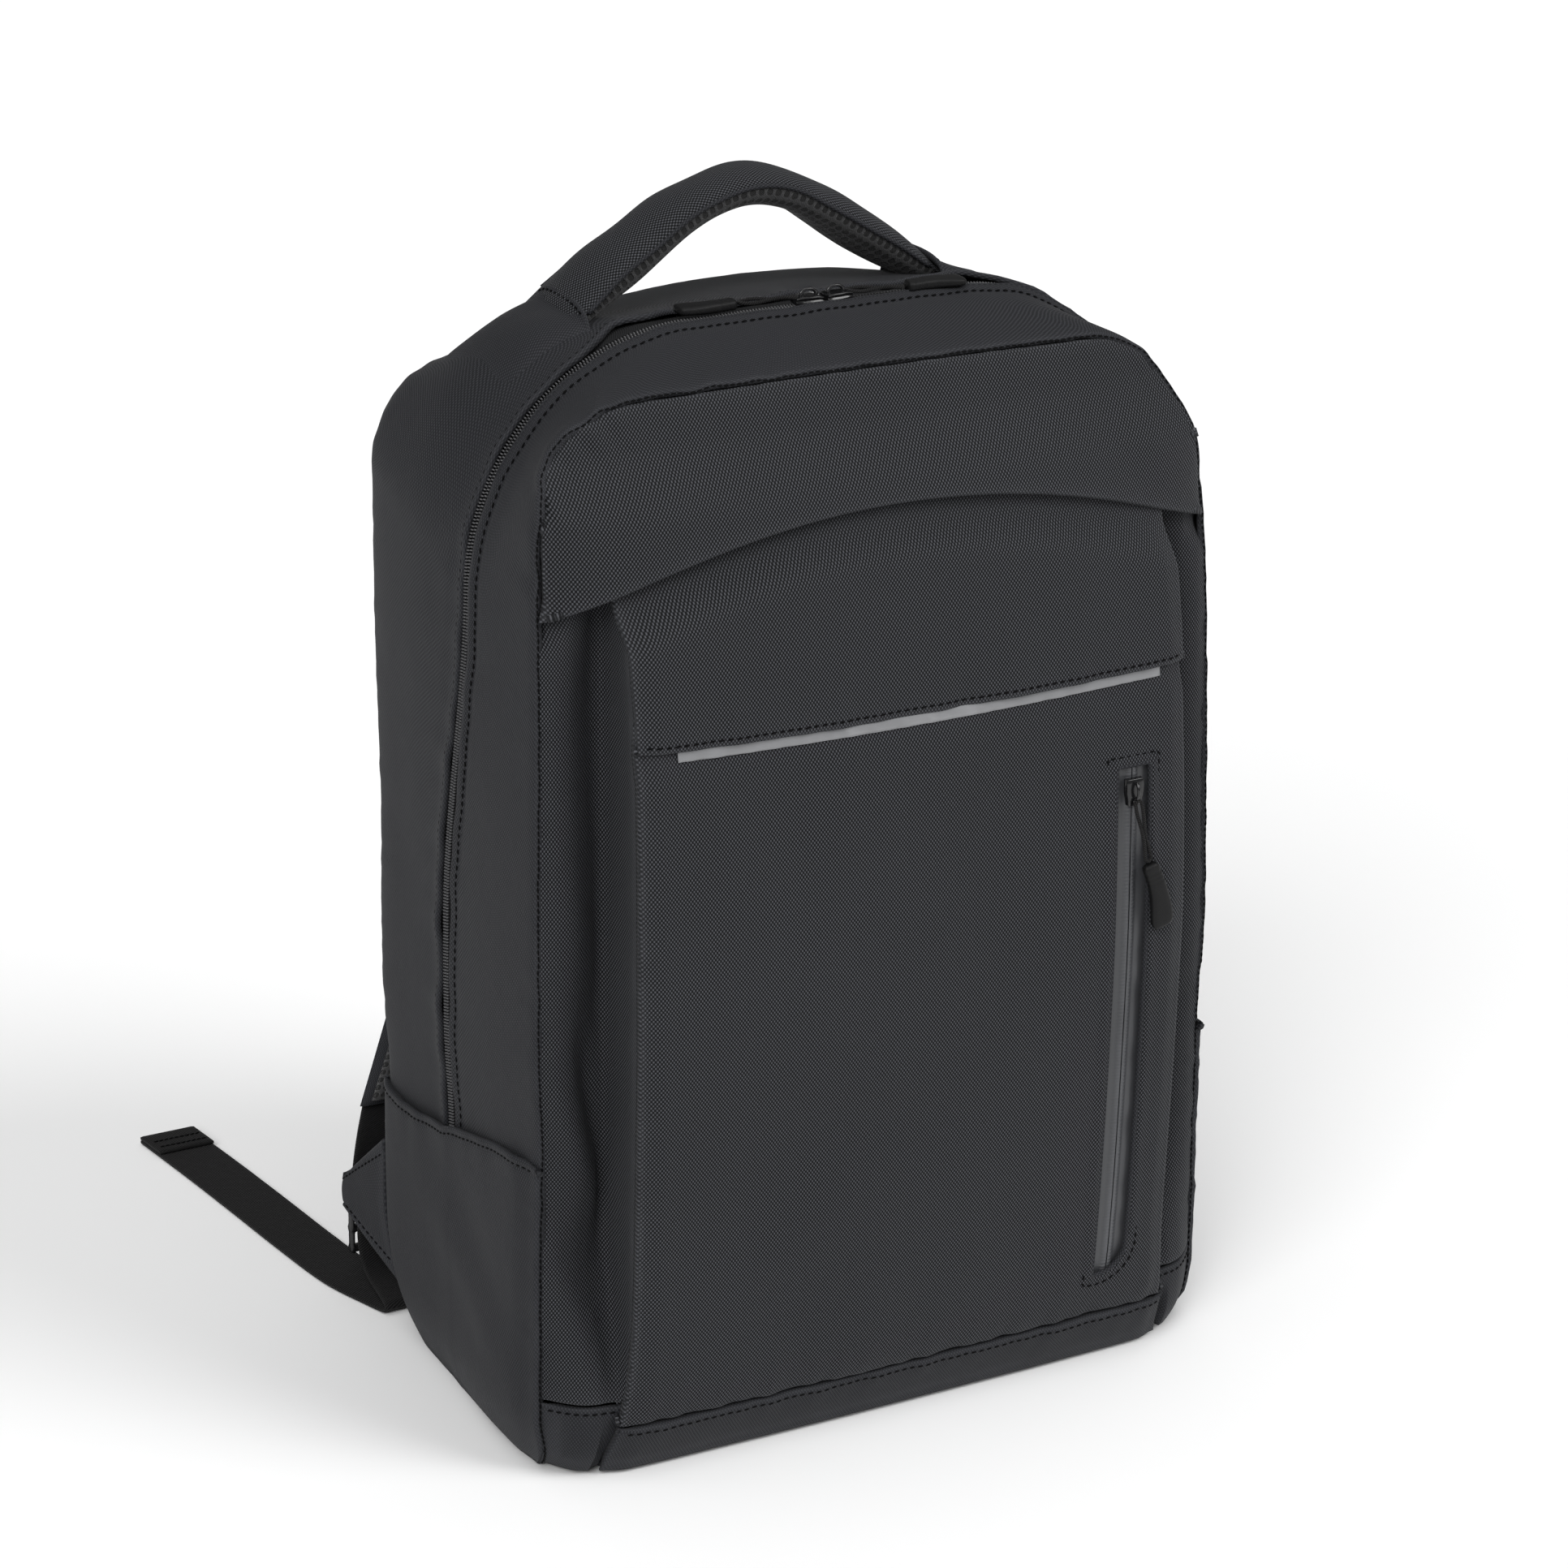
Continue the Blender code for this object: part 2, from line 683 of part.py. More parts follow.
def make_side_panels(side, word):
    start, end = SIDE_BAND_HEIGHT + SEAM_EASE, YOKE_END - 0.012
    seam = [wall_point(1.0, share * SIDE_SHARE, side)[2] for share in SIDE_RISES]
    strip = [start] + [z for z in seam if start + 0.01 < z < end - 0.01] + [end]
    rows = [[pleat_point(row, z, side) for row in PLEAT] for z in strip]
    for share in (0.5, 1.0):
        row_points = []
        for row in PLEAT:
            x = mix(seam_half(YOKE_END, side), pocket_half(YOKE_END), row[0])
            z = mix(strip[-1], yoke_edge(x) + HEM_TUCK, share)
            row_points.append(pleat_point(row, z, side))
        rows.append(row_points)
    grid_sheet("side_panel_" + word, rows, "canvas", CLOTH, flip=side > 0)
    band = [FOOT_LIFT, SIDE_BAND_HEIGHT * 0.4, SIDE_BAND_HEIGHT - SEAM_EASE]
    rows = [[pleat_point(row, z, side) for row in PLEAT] for z in band]
    grid_sheet("side_band_" + word, rows, "canvas", CLOTH, flip=side > 0)


def make_reflective_strip():
    rows = []
    low = POCKET_SPLIT - GAP - STRIP_HEIGHT
    for z in (low, POCKET_SPLIT - GAP):
        row = []
        for i in range(13):
            x = mix(STRIP_LEFT, STRIP_RIGHT, i / 12)
            row.append(np.array((x, -pocket_panel_face(x, z) - STRIP_THICK - GAP, z)))
        rows.append(row)
    grid_sheet("reflective_strip", rows, "reflective", STRIP_THICK)


def zip_tape_face(x, z):
    return pocket_panel_face(x, z) - LAYER - POCKET_TAPE_DROP


def make_pocket_zip():
    half = POCKET_ZIP_WIDTH / 2 + POCKET_TAPE_HEM
    low, high = POCKET_ZIP_LOW - POCKET_TAPE_HEM, POCKET_ZIP_HIGH + POCKET_TAPE_HEM
    heights = [low] + [z for z in panel_heights() if low < z < high] + [high]
    for word, start, end in (("left", -half, -GAP), ("right", GAP, half)):
        rows = []
        for z in heights:
            points = [POCKET_ZIP_X + mix(start, end, share) for share in (0.0, 0.5, 1.0)]
            rows.append([np.array((x, -zip_tape_face(x, z), z)) for x in points])
        grid_sheet("pocket_zip_tape_" + word, rows, "coated_tape", TAPE_THICK)


def frame_of(along, out):
    """Unit vectors along a run, across it and out of its surface."""
    along = along / np.linalg.norm(along)
    wide = np.cross(out, along)
    wide /= np.linalg.norm(wide)
    return along, wide, np.cross(along, wide)


def make_slider(name, centre, along, out):
    """Slider body with a bridge for the pull, its underside at centre."""
    along, wide, out = frame_of(along, out)
    turn = Matrix((along, wide, out)).transposed().to_euler()
    size = (SLIDER_LENGTH, SLIDER_WIDTH, SLIDER_HEIGHT)
    body = block(name, size, centre + out * SLIDER_HEIGHT / 2, "slider", 0.0008, turn=turn)
    size = (SLIDER_LENGTH * 0.62, SLIDER_WIDTH * 0.34, BRIDGE_HEIGHT * 2)
    bridge = block(name + "_bridge", size, centre + out * SLIDER_HEIGHT, None, 0.0006, cutters, turn)
    joined = body.modifiers.new("bridge", "BOOLEAN")
    joined.operation = "UNION"
    joined.solver = "EXACT"
    joined.object = as_cutter(bridge)


def make_pull(name, start, end, grip_end, out, length=GRIP_LENGTH):
    """A doubled cord from start to end, and a rubber grip from there on."""
    along, wide, out = frame_of(end - start, out)
    first, last = start + along * CORD_RADIUS, end - along * CORD_RADIUS
    knots = []
    for centre, direction in ((first, -1.0), (last, 1.0)):
        for turn in (-90.0, -30.0, 30.0, 90.0):
            angle = math.radians(turn)
            ahead = along * math.cos(angle) * direction * CORD_SPREAD
            knots.append(centre + ahead + wide * math.sin(angle) * direction * CORD_SPREAD)
    tube(name + "_cord", knots, CORD_RADIUS, "rubber", 1, cyclic=True)
    along, wide, out = frame_of(grip_end - end, out)
    rings = []
    for share, width, thick in GRIP:
        centre = end + along * (CORD_SPREAD + GAP + share * length)
        half_width, half_thick = width * GRIP_WIDTH / 2, thick * GRIP_THICK / 2
        rings.append(slab_ring(centre, wide, out, half_width, half_thick, 0.35))
    loft(name + "_grip", rings, "rubber")


def make_pulls():
    chain_y = wall_shape(CHAIN_PLACE)["crown_depth"]
    lying = BAG_HEIGHT + GRIP_THICK / 2 + GAP
    up = np.array((0.0, 0.0, 1.0))
    for side, word, rest_y in ((-1.0, "left", 0.004), (1.0, "right", -0.003)):
        x = side * (SLIDER_LENGTH / 2 + 0.001)
        along = np.array((side, 0.0, 0.0))
        make_slider("main_slider_" + word, np.array((x, chain_y, BAG_HEIGHT + GAP)), along, up)
        start_x = x + side * (SLIDER_LENGTH / 2 + CORD_SPREAD + GAP)
        start = np.array((start_x, chain_y, lying))
        end = np.array((side * 0.033, chain_y + rest_y, lying))
        grip_end = end + np.array((side * MAIN_GRIP_LENGTH, rest_y * 0.1, 0.0))
        make_pull("main_pull_" + word, start, end, grip_end, up, MAIN_GRIP_LENGTH)
    x, z = POCKET_ZIP_X, POCKET_SLIDER_Z
    out = np.array((0.0, -1.0, 0.0))
    base = np.array((x, -zip_tape_face(x, z) - 2 * GAP, z))
    make_slider("pocket_slider", base, np.array((0.0, 0.0, -1.0)), out)
    knots = []
    resting = GRIP_THICK / 2 + 3 * GAP
    for right, down, over in ((0.001, 0.0071, 0.0), (0.0055, 0.028, resting), (0.0135, 0.056, resting)):
        face = pocket_panel_face(x + right, z - down) + over
        knots.append(np.array((x + right, -face, z - down)))
    make_pull("pocket_pull", *knots, out)


def make_back():
    side_z = [wall_point(0.0, share * SIDE_SHARE, 1.0)[2] for share in SIDE_RISES[1:]]
    low = FOOT_LIFT
    shoulder = wall_point(0.0, SIDE_SHARE, 1.0)[2]
    steps = [0.0] + [(z - low) / (shoulder - low) for z in side_z] + [1.0]
    columns = []
    for share, rise, side in crown_columns():
        upper = wall_point(0.0, rise, side, inset=LAYER + GAP)
        across = yoke_across(share)
        column = []
        for step in steps:
            z = mix(low, upper[2], step)
            level = mix(low, shoulder, step)
            wide = side_point(0.0, level, 1.0, inset=LAYER + GAP)[0]
            x = mix(across * wide, upper[0], smooth(0.5, 1.0, step))
            if abs(across) == 1.0:
                x = across * wide
            puff = BACK_PUFF * (1.0 - abs(across) ** 6) * smooth(0.0, 0.15, step)
            puff *= smooth(0.0, 0.12, 1.0 - step)
            column.append(np.array((x, depth_at(wall_shape(0.0), 0.0, z) + puff, z)))
        columns.append(column)
    grid_sheet("back_panel", columns, "mesh", BACK_PAD)


def make_base():
    half = side_point(CHAIN_PLACE, GAP, 1.0, inset=LAYER + TAPE_SINK + TAPE_THICK + 4 * GAP)[0]
    rear = depth_at(wall_shape(0.0), 0.0, 0.0) - BACK_PAD - GAP - 0.001
    shoulder = seam_depth(0.0) - 2 * LAYER
    nose = pocket_depth(0.0) - 2 * LAYER
    inner = pocket_half(0.0) - 2 * LAYER
    outline = [(-half, rear), (-half, -shoulder + 0.004), (-inner - 0.006, -shoulder - 0.003)]
    outline += [(-inner + 0.006, -nose), (inner - 0.006, -nose)]
    outline += [(inner + 0.006, -shoulder - 0.003), (half, -shoulder + 0.004), (half, rear)]
    points = [(x, y, 0.0) for x, y in outline]
    item = add_mesh("base_panel", points, [tuple(range(len(points)))[::-1]], "canvas")
    wall = item.modifiers.new("wall", "SOLIDIFY")
    wall.thickness = BASE_THICK
    wall.offset = -1.0


def handle_ring(centre, tangent, half_width, half_thick, low, high, count):
    """Part of an oval across the handle, between two heights of its thickness."""
    normal = np.array((-tangent[2], 0.0, tangent[0]))
    ring = []
    for i in range(count):
        angle = mix(low, high, i / (count - 1))
        across, up = math.cos(angle) * half_width, math.sin(angle) * half_thick
        ring.append(centre + np.array((0.0, across, 0.0)) + normal * up)
    return ring


def make_handle():
    """Padded cover over a strip of air mesh, both along one arched line."""
    line = path_through(HANDLE, 2)
    centres = [np.array((x, HANDLE_Y, BAG_HEIGHT + z)) for x, z, _, _ in line]
    low = -math.asin(HANDLE_MESH_SHARE)
    cover, mesh = [], []
    for i, (x, _, half_width, half_thick) in enumerate(line):
        step = centres[min(i + 1, len(line) - 1)] - centres[max(i - 1, 0)]
        tangent = step / np.linalg.norm(step)
        ring = handle_ring(centres[i], tangent, half_width, half_thick, low, math.pi - low, 9)
        under = handle_ring(
            centres[i] - np.array((-tangent[2], 0.0, tangent[0])) * GAP, tangent,
            half_width * 0.97, half_thick, low - 0.02, -math.pi - low + 0.02, 6)
        cover.append(lift(ring))
        mesh.append(lift(under))
    loft("handle_cover", cover, "canvas")
    loft("handle_mesh", mesh[1:-1], "mesh")


def lift(ring):
    """Keeps a ring clear of the bag's top."""
    return [np.array((p[0], p[1], max(p[2], top_height(p[0], p[1]) + 2 * GAP))) for p in ring]


def slab_ring(centre, wide, out, half_width, half_thick, round_off):
    """Section of a flat band with rounded edges."""
    ring = []
    for across, up in ((-1, -0.45), (-1 + round_off, -1), (1 - round_off, -1), (1, -0.45),
                       (1, 0.45), (1 - round_off, 1), (-1 + round_off, 1), (-1, 0.45)):
        ring.append(centre + wide * across * half_width + out * up * half_thick)
    return ring


def band_frames(points):
    """For a band that is wide along x: each point, with the direction out of its face."""
    for i, point in enumerate(points):
        along = points[min(i + 1, len(points) - 1)] - points[max(i - 1, 0)]
        out = np.array((0.0, along[2], -along[1]))
        yield point, out / np.linalg.norm(out)


def band(name, points, half_widths, half_thick, finish, round_off, shift):
    wide = np.array((1.0, 0.0, 0.0))
    rings = []
    for (point, out), half_width in zip(band_frames(points), half_widths):
        rings.append(slab_ring(point + out * shift, wide, out, half_width, half_thick, round_off))
    return loft(name, rings, finish)


def web(name, points):
    """Flat webbing with square edges along a path."""
    wide = np.array((WEB_WIDTH / 2, 0.0, 0.0))
    rings = []
    for point, out in band_frames(points):
        half = out * WEB_THICK / 2
        rings.append([point - wide - half, point + wide - half,
                      point + wide + half, point - wide + half])
    return loft(name, rings, "webbing")


def make_strap(side, word):
    back = depth_at(wall_shape(0.0), 0.0, BAG_HEIGHT / 2)
    line = path_through([(x, back + y, z, half) for x, y, z, half in STRAP], 2)
    points = [np.array((side * x, y, z)) for x, y, z, _ in line]
    halves = [half for _, _, _, half in line]
    pad = STRAP_THICK - STRAP_MESH_THICK - GAP
    shift = (STRAP_MESH_THICK + GAP) / 2
    band("shoulder_strap_" + word, points, halves, pad / 2, "canvas", 0.14, -shift)
    narrow = [half * 0.86 for half in halves]
    lining = -shift + pad / 2 + GAP + STRAP_MESH_THICK / 2
    band("strap_mesh_" + word, points, narrow, STRAP_MESH_THICK / 2, "mesh", 0.05, lining)

    link = [np.array((side * x, y, z)) for x, y, z in path_through(LINK_WEB, 2)]
    web("link_webbing_" + word, link)
    tail = [np.array((side * x, y, z)) for x, y, z in TAIL_WEB]
    web("tail_webbing_" + word, tail)


def make_adjuster(side, word):
    """Ladder lock: a plate with two slots and three bars."""
    x, y, z = LOCK_PLACE
    x *= side
    name = "adjuster_" + word
    plate = block(name, (LOCK_WIDTH, LOCK_THICK, LOCK_HEIGHT), (x, y, z), "plastic")
    slot = (LOCK_HEIGHT - 3 * LOCK_BAR) / 2
    for step in (-1.0, 1.0):
        centre = (x, y, z + step * (slot + LOCK_BAR) / 2)
        size = (WEB_WIDTH + 0.001, 0.02, slot)
        cut(plate, as_cutter(block(name + "_slot", size, centre, None, collection=cutters)))


def make_wing(side, word):
    outer = []
    for behind, z, share in WING:
        seam = depth_at(wall_shape(0.0), 0.0, z) * (1.0 - share)
        seam += depth_at(wall_shape(0.0), 0.0, BAG_HEIGHT / 2) * share
        x = mix(side_point(0.0, z, 1.0)[0] + LAYER, BAG_WIDTH / 2 - 0.0008, share)
        outer.append(np.array((side * x, seam + behind + 3 * GAP, z)))
    inner = [p - np.array((side * WING_THICK, 0.0, 0.0)) for p in outer]
    loft("wing_" + word, [outer, inner], "canvas")


def main():
    global parts, cutters
    clear_scene()
    parts = new_collection("laptop_backpack")
    cutters = new_collection("cutters")
    make_walls()
    make_main_zip()
    make_yoke()
    make_pocket()
    make_reflective_strip()
    make_pocket_zip()
    make_pulls()
    make_back()
    make_base()
    make_handle()
    for side, word in ((-1.0, "left"), (1.0, "right")):
        make_side_pocket("side_pocket_" + word, side)
        make_side_panels(side, word)
        make_strap(side, word)
        make_adjuster(side, word)
        make_wing(side, word)


main()
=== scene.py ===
import math

import bpy
import numpy as np
from mathutils import Matrix, Vector


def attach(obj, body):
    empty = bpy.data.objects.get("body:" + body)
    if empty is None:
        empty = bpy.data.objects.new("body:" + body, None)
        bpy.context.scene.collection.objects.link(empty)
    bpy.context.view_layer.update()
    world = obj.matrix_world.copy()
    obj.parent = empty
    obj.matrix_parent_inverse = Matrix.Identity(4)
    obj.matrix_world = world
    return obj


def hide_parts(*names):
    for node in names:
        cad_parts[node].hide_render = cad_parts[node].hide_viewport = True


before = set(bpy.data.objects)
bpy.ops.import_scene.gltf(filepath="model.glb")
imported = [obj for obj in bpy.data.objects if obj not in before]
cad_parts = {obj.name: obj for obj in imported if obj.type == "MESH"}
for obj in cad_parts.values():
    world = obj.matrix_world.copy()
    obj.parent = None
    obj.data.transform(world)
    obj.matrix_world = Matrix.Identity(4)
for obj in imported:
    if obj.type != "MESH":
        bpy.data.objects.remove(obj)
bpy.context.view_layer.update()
print("frame loaded,", len(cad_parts), "nodes")


# shared form of the bag, in metres: +Z up, the front faces -Y

bag = {
    "width": 0.300,
    "depth": 0.152,
    "height": 0.434,
    "layer": 0.0025,
    "gap": 0.0003,
    "ease": 0.0006,
    "wall": 0.0013,
    "recess": 0.0018,
    "middle": (0.0, -0.01, 0.21),
}

# place, foot depth, crown depth, foot width, crown width, top, corner, shoulder drop
wallLines = (
    (0.00, 0.474, 0.474, 0.960, 0.950, 0.956, 0.085, 0.045),
    (0.12, 0.400, 0.400, 0.985, 0.990, 0.976, 0.095, 0.066),
    (0.30, 0.220, 0.170, 0.992, 0.992, 0.990, 0.180, 0.044),
    (0.43, 0.085, -0.040, 0.994, 0.978, 0.999, 0.280, 0.011),
    (0.50, 0.000, -0.132, 0.998, 0.972, 1.000, 0.300, 0.005),
    (0.54, -0.028, -0.158, 0.998, 0.972, 1.000, 0.300, 0.005),
    (0.75, -0.260, -0.270, 1.004, 0.960, 0.993, 0.275, 0.006),
    (1.00, -0.513, -0.468, 1.000, 0.940, 0.972, 0.150, 0.006),
)

wallForm = {
    "sideShare": 0.56,
    "cornerShare": 0.80,
    "footRound": 0.030,
    "footTuck": 0.035,
    "rearRound": 0.050,
    "rearTuck": 0.33,
    "frontRound": 0.014,
    "frontTuck": 0.12,
    "lean": 0.010,
    "sag": 0.048,
    "chainPlace": 0.50,
    "rearEdge": 0.43,
    "frontEdge": 0.53,
    "hemRear": 0.107,
    "hemFront": 0.132,
}


def smoothStep(low, high, value):
    share = np.clip((value - low) / (high - low), 0.0, 1.0)
    return share * share * (3.0 - 2.0 * share)


def mix(first, second, share):
    return first + (second - first) * share


def follow(rows, place):  # all columns of a table, on a smooth curve through its rows
    rows = np.asarray(rows, float)
    place = np.asarray(place, float)
    keys = rows[:, 0]
    k = np.clip(np.searchsorted(keys, place) - 1, 0, len(keys) - 2)
    before, after = np.maximum(k - 1, 0), np.minimum(k + 2, len(keys) - 1)
    span = (keys[k + 1] - keys[k])[..., None]
    t = np.clip((place - keys[k])[..., None] / span, 0.0, 1.0)
    slopeA = (rows[k + 1] - rows[before]) / (keys[k + 1] - keys[before])[..., None] * span
    slopeB = (rows[after] - rows[k]) / (keys[after] - keys[k])[..., None] * span
    return ((2 * t**3 - 3 * t**2 + 1) * rows[k] + (t**3 - 2 * t**2 + t) * slopeA
            + (-2 * t**3 + 3 * t**2) * rows[k + 1] + (t**3 - t**2) * slopeB)


def wallShape(place):
    row = follow(wallLines, place)
    return {
        "foot": row[..., 1] * bag["depth"],
        "crown": row[..., 2] * bag["depth"],
        "half": row[..., 3] * bag["width"] / 2,
        "halfTop": row[..., 4] * bag["width"] / 2,
        "top": row[..., 5] * bag["height"],
        "corner": row[..., 6] * bag["width"],
        "drop": row[..., 7] * bag["height"],
    }


def leanShare(place):
    chain = wallForm["chainPlace"]
    return np.maximum(place - chain, 0.0) / (1.0 - chain)


def depthAt(place, z):  # how far back the line at this place lies
    shape, high = wallShape(place), bag["height"]
    y = mix(shape["foot"], shape["crown"], smoothStep(0.46 * high, 0.80 * high, z))
    y = y + wallForm["lean"] * leanShare(place) * smoothStep(0.87 * high, 0.93 * high, z)
    rear = 1.0 - wallForm["rearTuck"] * np.maximum(0.0, 1.0 - z / wallForm["rearRound"]) ** 2
    front = 1.0 - wallForm["frontTuck"] * np.maximum(0.0, 1.0 - z / wallForm["frontRound"]) ** 2
    return y * np.where(y > 0, rear, front)


def hemHeight(place):
    return mix(wallForm["hemRear"], wallForm["hemFront"], smoothStep(0.15, 1.0, place))


def wallPoint(place, rise, side, inset=0.0, recess=True):
    place, rise = np.broadcast_arrays(np.asarray(place, float), np.asarray(rise, float))
    side = np.broadcast_to(np.asarray(side, float), place.shape)
    shape, high = wallShape(place), bag["height"]
    half, top, corner = shape["half"] - inset, shape["top"] - inset, shape["corner"] - inset
    sideShare, cornerShare = wallForm["sideShare"], wallForm["cornerShare"]
    turn = np.clip((rise - sideShare) / (cornerShare - sideShare), 0.0, 1.0) * math.pi / 2
    over = np.clip((rise - cornerShare) / (1.0 - cornerShare), 0.0, 1.0)
    x = np.where(rise < sideShare, half, np.where(
        rise < cornerShare, half - corner + corner * np.cos(turn), (half - corner) * (1.0 - over)))
    z = np.where(rise < sideShare, bag["gap"] + rise / sideShare * (top - corner - bag["gap"]),
                 top - corner + corner * np.sin(turn))
    x = x * mix(1.0, shape["halfTop"] / shape["half"], (z / high) ** 1.5)
    z = z - shape["drop"] * (x / half) ** 2 * smoothStep(0.55 * high, 0.90 * high, z)
    x = x * (1.0 - wallForm["footTuck"] * np.maximum(0.0, 1.0 - z / wallForm["footRound"]) ** 2)
    sagging = wallForm["sag"] * leanShare(place) * smoothStep(0.73 * high, 0.94 * high, z)
    x = x * (1.0 - np.where(side > 0, sagging, 0.0))
    if recess:
        hem = hemHeight(place)
        x = x - bag["recess"] * (1.0 - smoothStep(hem + 0.002, hem + 0.045, z))
    return np.stack((side * x, depthAt(place, z), z), axis=-1)


def sidePoint(place, z, side, inset=0.0, recess=True):  # a point on the upright stretch
    shape = wallShape(np.asarray(place, float))
    reach = shape["top"] - shape["corner"] - bag["gap"]
    return wallPoint(place, wallForm["sideShare"] * (z - bag["gap"]) / reach, side, inset, recess)


# tools for cloth

def unit(vectors):
    return vectors / np.maximum(np.linalg.norm(vectors, axis=-1, keepdims=True), 1e-12)


def gridNormals(grid):
    return unit(np.cross(np.gradient(grid, axis=1), np.gradient(grid, axis=0)))


def runLength(grid, axis):  # distance along the rows or columns of a grid
    steps = np.linalg.norm(np.diff(grid, axis=axis), axis=-1)
    start = np.zeros_like(np.take(steps, [0], axis=axis))
    return np.cumsum(np.concatenate((start, steps), axis=axis), axis=axis)


def pathRun(path):  # distance along a path
    return np.concatenate(([0.0], np.cumsum(np.linalg.norm(np.diff(path, axis=0), axis=1))))


def wander(points, size, seed):  # smooth seeded unevenness, about -1 to 1
    chance = np.random.default_rng(seed)
    total = np.zeros(points.shape[:-1])
    for _ in range(9):
        heading = unit(chance.normal(size=3)) * chance.uniform(0.7, 1.4) * 2 * math.pi / size
        total += np.sin(points @ heading + chance.uniform(0.0, 2 * math.pi))
    return total / 4.0


def ripple(along, size, seed):  # uneven waves along a seam, about -1 to 1
    chance = np.random.default_rng(seed)
    total = np.zeros_like(along)
    for factor in (0.6, 0.83, 1.0, 1.37, 1.9):
        total += np.sin(along * factor * 2 * math.pi / size + chance.uniform(0.0, 2 * math.pi))
    return total / 2.6


def pucker(along, away, size, height, reach, seed):  # gathers along a seam that die out away from it
    return height * ripple(along, size, seed) * np.exp(-(away / reach) ** 1.3)


def hemRelief(away, width, puff, groove):  # the padded lip of a hem and its stitched groove
    lip = puff * np.sin(np.clip(away / width, 0.0, 1.0) * math.pi) ** 0.7
    return lip - groove * np.exp(-((away - width) / (0.28 * width)) ** 2)


def crease(points, start, end, width, height):  # a soft ridge between two points
    start, end = np.array(start), np.array(end)
    run = end - start
    share = np.clip(((points - start) @ run) / (run @ run), 0.0, 1.0)
    away = np.linalg.norm(points - (start + share[..., None] * run), axis=-1)
    fade = np.sin(np.clip(share, 0.02, 0.98) * math.pi) ** 0.6
    return height * fade * np.exp(-(away / width) ** 2)


def creases(points, rows):  # rows hold start, end, width and height
    return sum(crease(points, *row) for row in rows)


def shares(shape, start=(0.0, 0.0)):  # two grids of shares, along the columns and up the rows
    along, up = (np.linspace(low, 1.0, count) for low, count in zip(start, shape[::-1]))
    return np.meshgrid(along, up)


bothSides = ((-1.0, "Left"), (1.0, "Right"))


def fromEnds(count):  # how many points each one of a row stands from the nearer end
    return np.minimum(np.arange(count), np.arange(count)[::-1])


roll = {"angles": (90, 60, 30), "cornerPoints": 3.0, "cornerShare": 0.25, "pullShare": 0.8}


def rollEdge(grid, edge, radius, tail):  # turns one edge of a grid in, away from its face
    if edge in ("left", "right"):
        turned = rollEdge(np.swapaxes(grid, 0, 1), {"left": "low", "right": "high"}[edge], -radius, tail)
        return np.swapaxes(turned, 0, 1)
    if edge == "high":
        return rollEdge(grid[::-1], "low", -radius, tail)[::-1]
    normal = gridNormals(grid)[0] * math.copysign(1.0, radius)
    radius = abs(radius)
    # the roll thins out towards both corners
    taper = np.clip(fromEnds(grid.shape[1]) / roll["cornerPoints"], roll["cornerShare"], 1.0)[:, None]
    outward = unit(grid[0] - grid[1])
    spacing = float(np.mean(np.linalg.norm(grid[0] - grid[1], axis=-1)))
    pulled = grid[0] - outward * min(radius, roll["pullShare"] * spacing) * taper
    rows = []
    for angle in np.radians(roll["angles"]):
        curl = outward * math.sin(angle) - normal * (1 - math.cos(angle))
        rows.append(pulled + curl * radius * taper)
    rows.insert(0, rows[0] - normal * tail * taper)
    return np.concatenate((np.array(rows), pulled[None], grid[1:]))


def deselect():
    if bpy.context.object and bpy.context.object.mode != "OBJECT":
        bpy.ops.object.mode_set(mode="OBJECT")
    bpy.ops.object.select_all(action="DESELECT")


def pick(piece):
    deselect()
    piece.select_set(True)
    bpy.context.view_layer.objects.active = piece


def addModifier(piece, name, kind, **settings):
    made = piece.modifiers.new(name, kind)
    for key, value in settings.items():
        setattr(made, key, value)


def applyModifiers(piece):
    pick(piece)
    for modifier in list(piece.modifiers):
        bpy.ops.object.modifier_apply(modifier=modifier.name)


def joinPieces(pieces):
    deselect()
    for piece in pieces:
        piece.select_set(True)
    bpy.context.view_layer.objects.active = pieces[0]
    bpy.ops.object.join()
    return pieces[0]


finished = []


def finishPiece(piece, material, nodes):
    finished.append(piece)
    piece.data.materials.clear()
    piece.data.materials.append(material)
    pick(piece)
    bpy.ops.object.shade_smooth()
    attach(piece, "root")
    if nodes:
        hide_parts(*nodes)
    return piece


def setUv(piece, perVertex):
    layer = piece.data.uv_layers.active or piece.data.uv_layers.new(name="cloth")
    layer.name = "cloth"
    which = np.empty(len(piece.data.loops), dtype=np.int32)
    piece.data.loops.foreach_get("vertex_index", which)
    layer.data.foreach_set("uv", np.asarray(perVertex, np.float32)[which].ravel())


def gridPiece(name, grid, flat=None):  # a grid primitive laid on a form, with its cloth's flat cut as UV
    rows, columns = grid.shape[:2]
    deselect()
    bpy.ops.mesh.primitive_grid_add(x_subdivisions=columns - 1, y_subdivisions=rows - 1, size=1.0)
    piece = bpy.context.object
    piece.name = name
    if len(piece.data.vertices) != rows * columns:
        raise ValueError(f"{name}: the grid has {len(piece.data.vertices)} points, not {rows * columns}")
    piece.data.vertices.foreach_set("co", grid.reshape(-1).astype(np.float32))
    if flat is None:
        across = runLength(grid, 1).mean(axis=0)
        along = runLength(grid, 0).mean(axis=1)
        flat = np.stack(np.meshgrid(across, along), axis=-1)
    setUv(piece, flat.reshape(-1, 2))
    piece.data.update()
    return piece


edgeRub = {"full": 3.0, "fade": 1.2}  # points in from a cloth's edge


